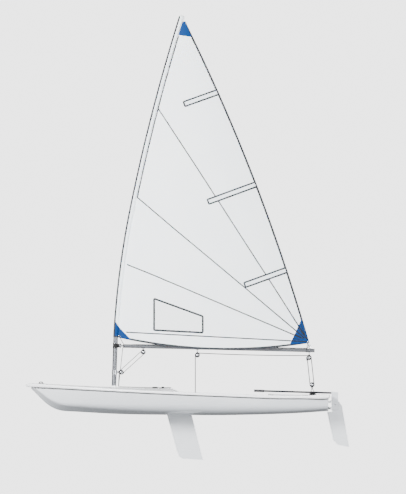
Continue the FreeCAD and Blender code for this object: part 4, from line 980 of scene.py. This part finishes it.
def becket(name, centre, wheel, angle_deg):
    """A pin between two steel cheek straps, where a rope's end is made fast with an eye."""
    a = math.radians(angle_deg)
    way = np.array([math.cos(a), math.sin(a)])
    across = np.array([-way[1], way[0]])
    pin = centre + wheel * way
    turned(f"{name}_pin", PIN, pin, "rig", sides=20)
    t = np.linspace(math.pi / 2, 3 * math.pi / 2, 12)[:, None]
    half_circle = np.cos(t) * way + np.sin(t) * across
    loop = np.concatenate([centre + 0.009 * half_circle, pin - 0.0065 * half_circle])
    middle = loop.mean(0)
    for which, side in SIDES:
        rows = []
        for shrink, y in ((0.02, 0.0106), (0.94, 0.0106), (1.0, 0.0110), (1.0, 0.0122), (0.94, 0.0126),
                          (0.02, 0.0126)):
            spot = middle + (loop - middle) * shrink
            rows.append(spread(spot[:, 0], side * y, spot[:, 1]))
        surface(f"{name}_strap_{which}", np.array(rows), STEEL, "rig", close_u=True, caps=True)
    return pin


def eye_end(pin, toward, half, tail):
    """A rope's eye: from beside the standing part, round the pin, and on towards a point."""
    way = unit(toward - pin)
    side = np.array([-way[1], way[0]])
    t = np.linspace(0, math.pi, 12)[:, None]
    hook = pin + (PIN_R + half) * (np.cos(t) * side - np.sin(t) * way)
    lead = pin + way * tail * 0.72 + side * half * 1.3
    flat = np.concatenate([[lead + way * half * 0.8], [lead], hook, [pin + way * tail]])
    return spread(flat[:, 0], 0.0, flat[:, 1])


def whipping(name, pin, toward, half, tail):
    """Tight turns of twine round the two parts of a rope below its eye: an oval whose size
    swells and shrinks with each turn."""
    way = unit((toward[0] - pin[0], 0, toward[1] - pin[1]))
    side = np.cross(way, (0, 1, 0))
    s = np.linspace(-2.0, 2.0, 33)[:, None, None] * half
    a = whole_turn(24)[None, :, None]
    puff = 1 + 0.05 * np.cos(s / half * 4 * math.pi)
    centre = np.array([pin[0], 0, pin[1]]) + way * tail * 0.58 + side * half * 0.33
    points = (centre + s * way + side * np.cos(a) * half * 2.28 * puff
              + np.array([0, 1.0, 0]) * np.sin(a) * half * 1.25 * puff)
    surface(name, points, THREAD, "rig", close_u=True, caps=True)


def joined(*parts):
    """One path from several, each starting where the one before it ends."""
    return np.concatenate([parts[0]] + [part[1:] for part in parts[1:]])


def make_mainsheet():
    """Two parts between boom end and traveller, along under the boom, and down to the floor."""
    (aft, fore), angle = edge_points(TRAVELLER_BLOCK, END_BLOCK, BLOCK_WHEEL)
    start = becket("end_block_becket", END_BLOCK, BLOCK_WHEEL, angle - 180)
    eye = eye_end(start, fore[0], SHEET_HALF, SHEET_EYE)
    path = joined(eye, flat_line(eye[-1][::2], fore[0]),
                  arc(TRAVELLER_BLOCK, BLOCK_WHEEL, angle - 180, angle - 360), flat_line(*aft))
    purchase = rope("mainsheet_purchase_rope", path, SHEET_HALF, SHEET_ROPE, None)
    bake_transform(purchase)
    whipping("mainsheet_eye_whipping", start, fore[0], SHEET_HALF, SHEET_EYE)
    (top, _), tilt = edge_points(END_BLOCK, MID_BLOCK, BLOCK_WHEEL)
    along = flat_line(*top, count=80)
    share = np.linspace(0, 1, 80)
    along[:, 2] -= 4 * 0.010 * share * (1 - share)
    path = joined(arc(END_BLOCK, BLOCK_WHEEL, angle, tilt), along, arc(MID_BLOCK, BLOCK_WHEEL, tilt, 0))
    rope("mainsheet_boom_rope", path, SHEET_HALF, SHEET_ROPE, "rig")
    x, split = MID_BLOCK[0] + BLOCK_WHEEL, 0.22
    fall = rope("mainsheet_fall_rope", flat_line((x, MID_BLOCK[1]), (x, split), count=60), SHEET_HALF,
                SHEET_ROPE, None)
    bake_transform(fall)
    turn = arc(SHEET_BLOCK, SHEET_WHEEL, 0, -200)
    tail = turn[-1] + np.array([[-0.012, 0, 0.033], [-0.022, 0, 0.058]])
    path = np.concatenate([joined(flat_line((x, split), (x, SHEET_BLOCK[1])), turn), tail])
    rope("mainsheet_hand_rope", path, SHEET_HALF, SHEET_ROPE, "hull")
    stopper_knot("mainsheet_knot", tail[-1] + (-0.004, 0, 0.011), (-0.35, 0, 0.93), SHEET_HALF,
                 SHEET_ROPE, "hull")


def make_vang():
    """Two parts of line between the blocks at mast and boom, and the tail down to the deck."""
    (upper, lower), angle = edge_points(VANG_HIGH, VANG_LOW, VANG_WHEEL)
    start = becket("vang_becket", VANG_LOW, VANG_WHEEL, angle - 180)
    eye = eye_end(start, lower[0], LINE_HALF, VANG_EYE)
    path = joined(eye, flat_line(eye[-1][::2], lower[0]), arc(VANG_HIGH, VANG_WHEEL, angle + 180, angle),
                  flat_line(*upper), arc(VANG_LOW, VANG_WHEEL, angle, 2))
    rope("vang_purchase_line", path, LINE_HALF, LINE_ROPE, "rig")
    whipping("vang_eye_whipping", start, lower[0], LINE_HALF, VANG_EYE)


def deck_lead(name, start, side, cleat_end):
    """The part of a control line on the deck: down to its eye, aft through the cleat, and a knot."""
    def deck(x, y):
        return land("deck_moulding", x, y)[0][2]
    x, y, z = start
    spots = [start, (x + 0.0012, y, z - 0.020)]
    for at_x in (0.817, 0.80, 0.72, 0.60, 0.48, 0.39):
        at_y = y + (side * 0.048 - y) * np.clip((0.817 - at_x) / (0.817 - 0.36), 0, 1)
        spots.append((at_x, at_y, deck(at_x, at_y) + LINE_HALF + (0.0022 if at_x < 0.81 else 0.0045)))
    jaw = land("control_line_cleats", 0.317, side * 0.048)[0][2] + LINE_HALF * 0.8
    low = deck(cleat_end, side * 0.052) + LINE_HALF
    spots += [(at_x, side * 0.048, jaw) for at_x in (0.357, 0.317, 0.277)]
    spots += [(0.252, side * 0.0495, (jaw + low) / 2), (cleat_end + 0.01, side * 0.052, low)]
    rope(f"{name}_deck_line", eased(spots), LINE_HALF, LINE_ROPE, "hull")
    stopper_knot(f"{name}_knot", (cleat_end, side * 0.052, low + 0.004), (1, 0, 0), LINE_HALF, LINE_ROPE,
                 "hull")
    ring(f"{name}_deck_eye", (0.812, y, deck(0.812, y) + 0.006), 0.0095, 0.0028, "x", "hull")


def boom_z(x):
    """Height of the boom's centre."""
    return 0.877 + (0.8145 - 0.877) * (x - 0.745) / (-1.897 - 0.745)


def make_control_lines():
    """Outhaul from the clew along the boom, and both tails from the rig down to the deck."""
    foot, side = 0.345, -0.0175
    vang = flat_line((VANG_LOW[0] + VANG_WHEEL, VANG_LOW[1] + 0.001), (0.8225, foot), 0.0, 0.018, 40)
    tail = rope("vang_tail_line", vang, LINE_HALF, LINE_ROPE, None)
    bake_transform(tail)
    deck_lead("vang", vang[-1], 1, 0.215)
    drop = straight((0.7655, side, 0.838), (0.8200, side, foot), 60)
    tail = rope("outhaul_tail_line", drop, LINE_HALF, LINE_ROPE, None)
    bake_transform(tail)
    deck_lead("outhaul", drop[-1], -1, 0.200)
    r = 0.0255 + LINE_HALF
    top = [(x, -r * math.sin(a), boom_z(x) + r * math.cos(a))
           for x, a in ((0.700, 1.15), (0.60, 0.62), (0.30, 0.40), (-0.6, 0.36), (-1.5, 0.36), (-1.74, 0.33))]
    nose = [(0.7655, side, 0.838), (0.7645, side - 0.004, 0.850), (0.7520, -0.0280, 0.8670),
            (0.735, -r, 0.8755)]
    back = [(-1.800, -0.0075, boom_z(-1.80) + r + 0.002), (-1.8235, -0.0085, 0.868), (-1.8330, 0.0, 0.8655),
            (-1.8290, 0.0100, 0.872), (-1.8150, 0.0115, 0.900), (-1.8065, 0.0095, 0.928)]
    rope("outhaul_line", joined(eased(nose + top, 24), eased(top[-1:] + back)), LINE_HALF, LINE_ROPE, "rig")
    tack = (0.812, 1.016)
    y = float(sail_y(*tack))
    rope("tack_line", eased([(tack[0], y + 0.004, tack[1]), (0.800, y + 0.007, 0.990), (0.757, 0.006, 0.906),
                             (0.757, 0.0, 0.9045)]), LINE_HALF, LINE_ROPE, "rig")
    for name, (x, z), size in (("clew", (-1.808, 0.934), 0.0085), ("tack", tack, 0.0085),
                               ("head", (-0.120, 5.362), 0.007)):
        for which, sign in SIDES:
            ring(f"{name}_eyelet_{which}", on_sail(x, z, sign * 0.0042), size, 0.0030, "y", "rig",
                 high=0.0012, count=28)
    x, a = -1.7945, np.radians(np.linspace(-205, 25, 30))
    hoop = spread(x, 0.0285 * np.cos(a), boom_z(x) + 0.0285 * np.sin(a))
    ends = np.array([(-1.806, -0.0015, 0.932), (-1.806, 0.0125, 0.932)])
    rope("clew_tie_down", np.concatenate([ends[:1], hoop, ends[1:]]), LINE_HALF, LINE_ROPE, "rig")
    stopper_knot("clew_knot", (-1.806, 0.0140, 0.932), (0, 1, 0.1), LINE_HALF * 0.9, LINE_ROPE, "rig")


def make_traveller():
    """One closed line: from the block's ring down to each fairlead, out through one hole and
    back through the other."""
    foot, out, ring_z = 0.2146, 0.4475, 0.2872
    front, back, peak = -1.842, -1.910, -1.867
    spots = []
    for x, near, sign in ((front, peak + 0.0035, 1), (back, peak - 0.0035, -1)):
        spots += [[(x, sign * out, foot), (x, sign * 0.426, foot)],
                  straight((x, sign * 0.422, foot + 0.0008), (near, sign * 0.004, ring_z), 30),
                  straight((near, -sign * 0.004, ring_z), (x, -sign * 0.422, foot + 0.0008), 30),
                  [(x, -sign * 0.426, foot), (x, -sign * out, foot)]]
    path = np.concatenate(spots + [[(front, out, foot)]])
    line = rope("traveller_rope", path, LINE_HALF, LINE_ROPE, "hull")
    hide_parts("traveller_line")
    ring("traveller_ring", (peak, 0, 0.2900), 0.0085, 0.0022, "y", "hull")


def make_hiking_strap():
    """Webbing from the floor plate to the aft wall: a flat band with rounded edges along a line
    that sags a few millimetres."""
    wall, floor, step, half_wide, half_thick = -1.2038, -0.0255, 0.010, 0.0245, 0.0018
    line = evenly(eased([
        (-0.332, 0, floor), (-0.362, 0, floor), (-0.392, 0, floor + 0.001), (-0.46, 0, floor + 0.0075),
        (-0.80, 0, 0.0270), (-1.12, 0, 0.0800), (-1.180, 0, 0.0915), (wall + 0.004, 0, 0.100),
        (wall, 0, 0.112), (wall, 0, 0.148)], 16), step)
    up = np.cross(unit(np.gradient(line, axis=0)), (0, 1.0, 0))
    up *= -np.sign(up[:1, 2:])
    across, rise = np.cos(whole_turn(28)), np.sin(whole_turn(28))
    wide = np.sign(across) * np.abs(across) ** 0.25 * half_wide
    high = np.sign(rise) * np.abs(rise) ** 0.6 * half_thick
    points = line[:, None] + up[:, None] * high[None, :, None] + np.array([0, 1.0, 0]) * wide[None, :, None]
    uv = spread(wide[None] / (2 * half_wide) + 0.5, np.arange(len(line))[:, None] * step)
    strap = surface("hiking_strap_webbing", points, WEB, "hull", close_u=True, caps=True, uv=uv)
    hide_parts("hiking_strap")


# Edge between the hull's side and the deck: x and height.
GUNWALE = (
    (-2.092, 0.147), (-1.850, 0.144), (-1.500, 0.147), (-1.000, 0.162), (-0.300, 0.190), (0.400, 0.221),
    (1.000, 0.252), (1.414, 0.274), (1.660, 0.287), (1.830, 0.295), (1.960, 0.301), (2.000, 0.3026),
)
# A near-black bead under the deck's rolled edge: a joint, and painted shade for the shadow line there.
SHADE_BEAD_R, SHADE_BEAD_FORE = 0.0085, (2.028, 0.012, 0.2985)


def make_shade_bead():
    """The rubber bead in the corner where the hull's side meets the deck's rolled edge. It is near black as
    painted shade for the shadow under that edge: a level ray from outside finds the side, and one from below
    finds the edge above it."""
    at, share = np.linspace(0, 1, 120), np.linspace(0, 1, len(GUNWALE))
    line = []
    for x, z in zip(*(np.interp(at, share, part) for part in np.array(GUNWALE).T)):
        y = NODES["hull_shell"].ray_cast((x, 1.0, z - 0.02), (0, -1, 0))[1][1]
        edge = NODES["deck_moulding"].ray_cast((x, y + 0.006, -0.5), (0, 0, 1))[1][2]
        line.append((x, y + 0.004, edge - 0.004))
    line = np.array(line + [SHADE_BEAD_FORE])
    mirror = np.array([1, -1, 1])
    for name, path in (("port", line), ("starboard", line * mirror),
                       ("stern", straight(line[0], line[0] * mirror, 30))):
        rope(f"shade_bead_{name}", path, SHADE_BEAD_R, SHADE_BEAD, "hull", sides=10, step=0.02)


RIVET_HIGH = 0.0014


def make_rivets():
    """Heads of the rivets and screws that hold the fittings, each on the surface below it."""
    bands = [(z, turn) for z in (0.8500, 0.9120) for turn in (1.2, -1.2, 2.0, -2.0)]
    bands += [(z, turn) for z in (0.4935, 0.5345) for turn in (1.2, -1.2)]
    z, turn = np.array(bands).T
    ways = spread(np.cos(turn), np.sin(turn), 0)
    domes("mast_band_rivets", spread(mast_x(z), 0, z) + ways * 0.0348, ways, 0.0033, RIVET_HIGH, "rig")
    for name, node, xs, ys, radius in (
            ("fairlead_screws", "traveller_fairleads", (-1.852, -1.900), (0.430, -0.430), 0.0042),
            ("strap_plate_screws", "strap_plates", (-0.340, -0.362), (-0.014, 0.014), 0.0040)):
        places, ups = zip(*(land(node, x, y) for x in xs for y in ys))
        domes(name, places, ups, radius, RIVET_HIGH, "hull")


for name, centre, body in (("vang_low", VANG_LOW, "rig"), ("vang_high", VANG_HIGH, "rig"),
                           ("boom_middle", MID_BLOCK, "rig"), ("boom_end", END_BLOCK, "rig"),
                           ("traveller", TRAVELLER_BLOCK, "hull"), ("mainsheet", SHEET_BLOCK, "hull")):
    cheek_discs(name, centre, body)
make_mainsheet()
make_vang()
make_control_lines()
make_traveller()
make_hiking_strap()
make_shade_bead()
make_rivets()
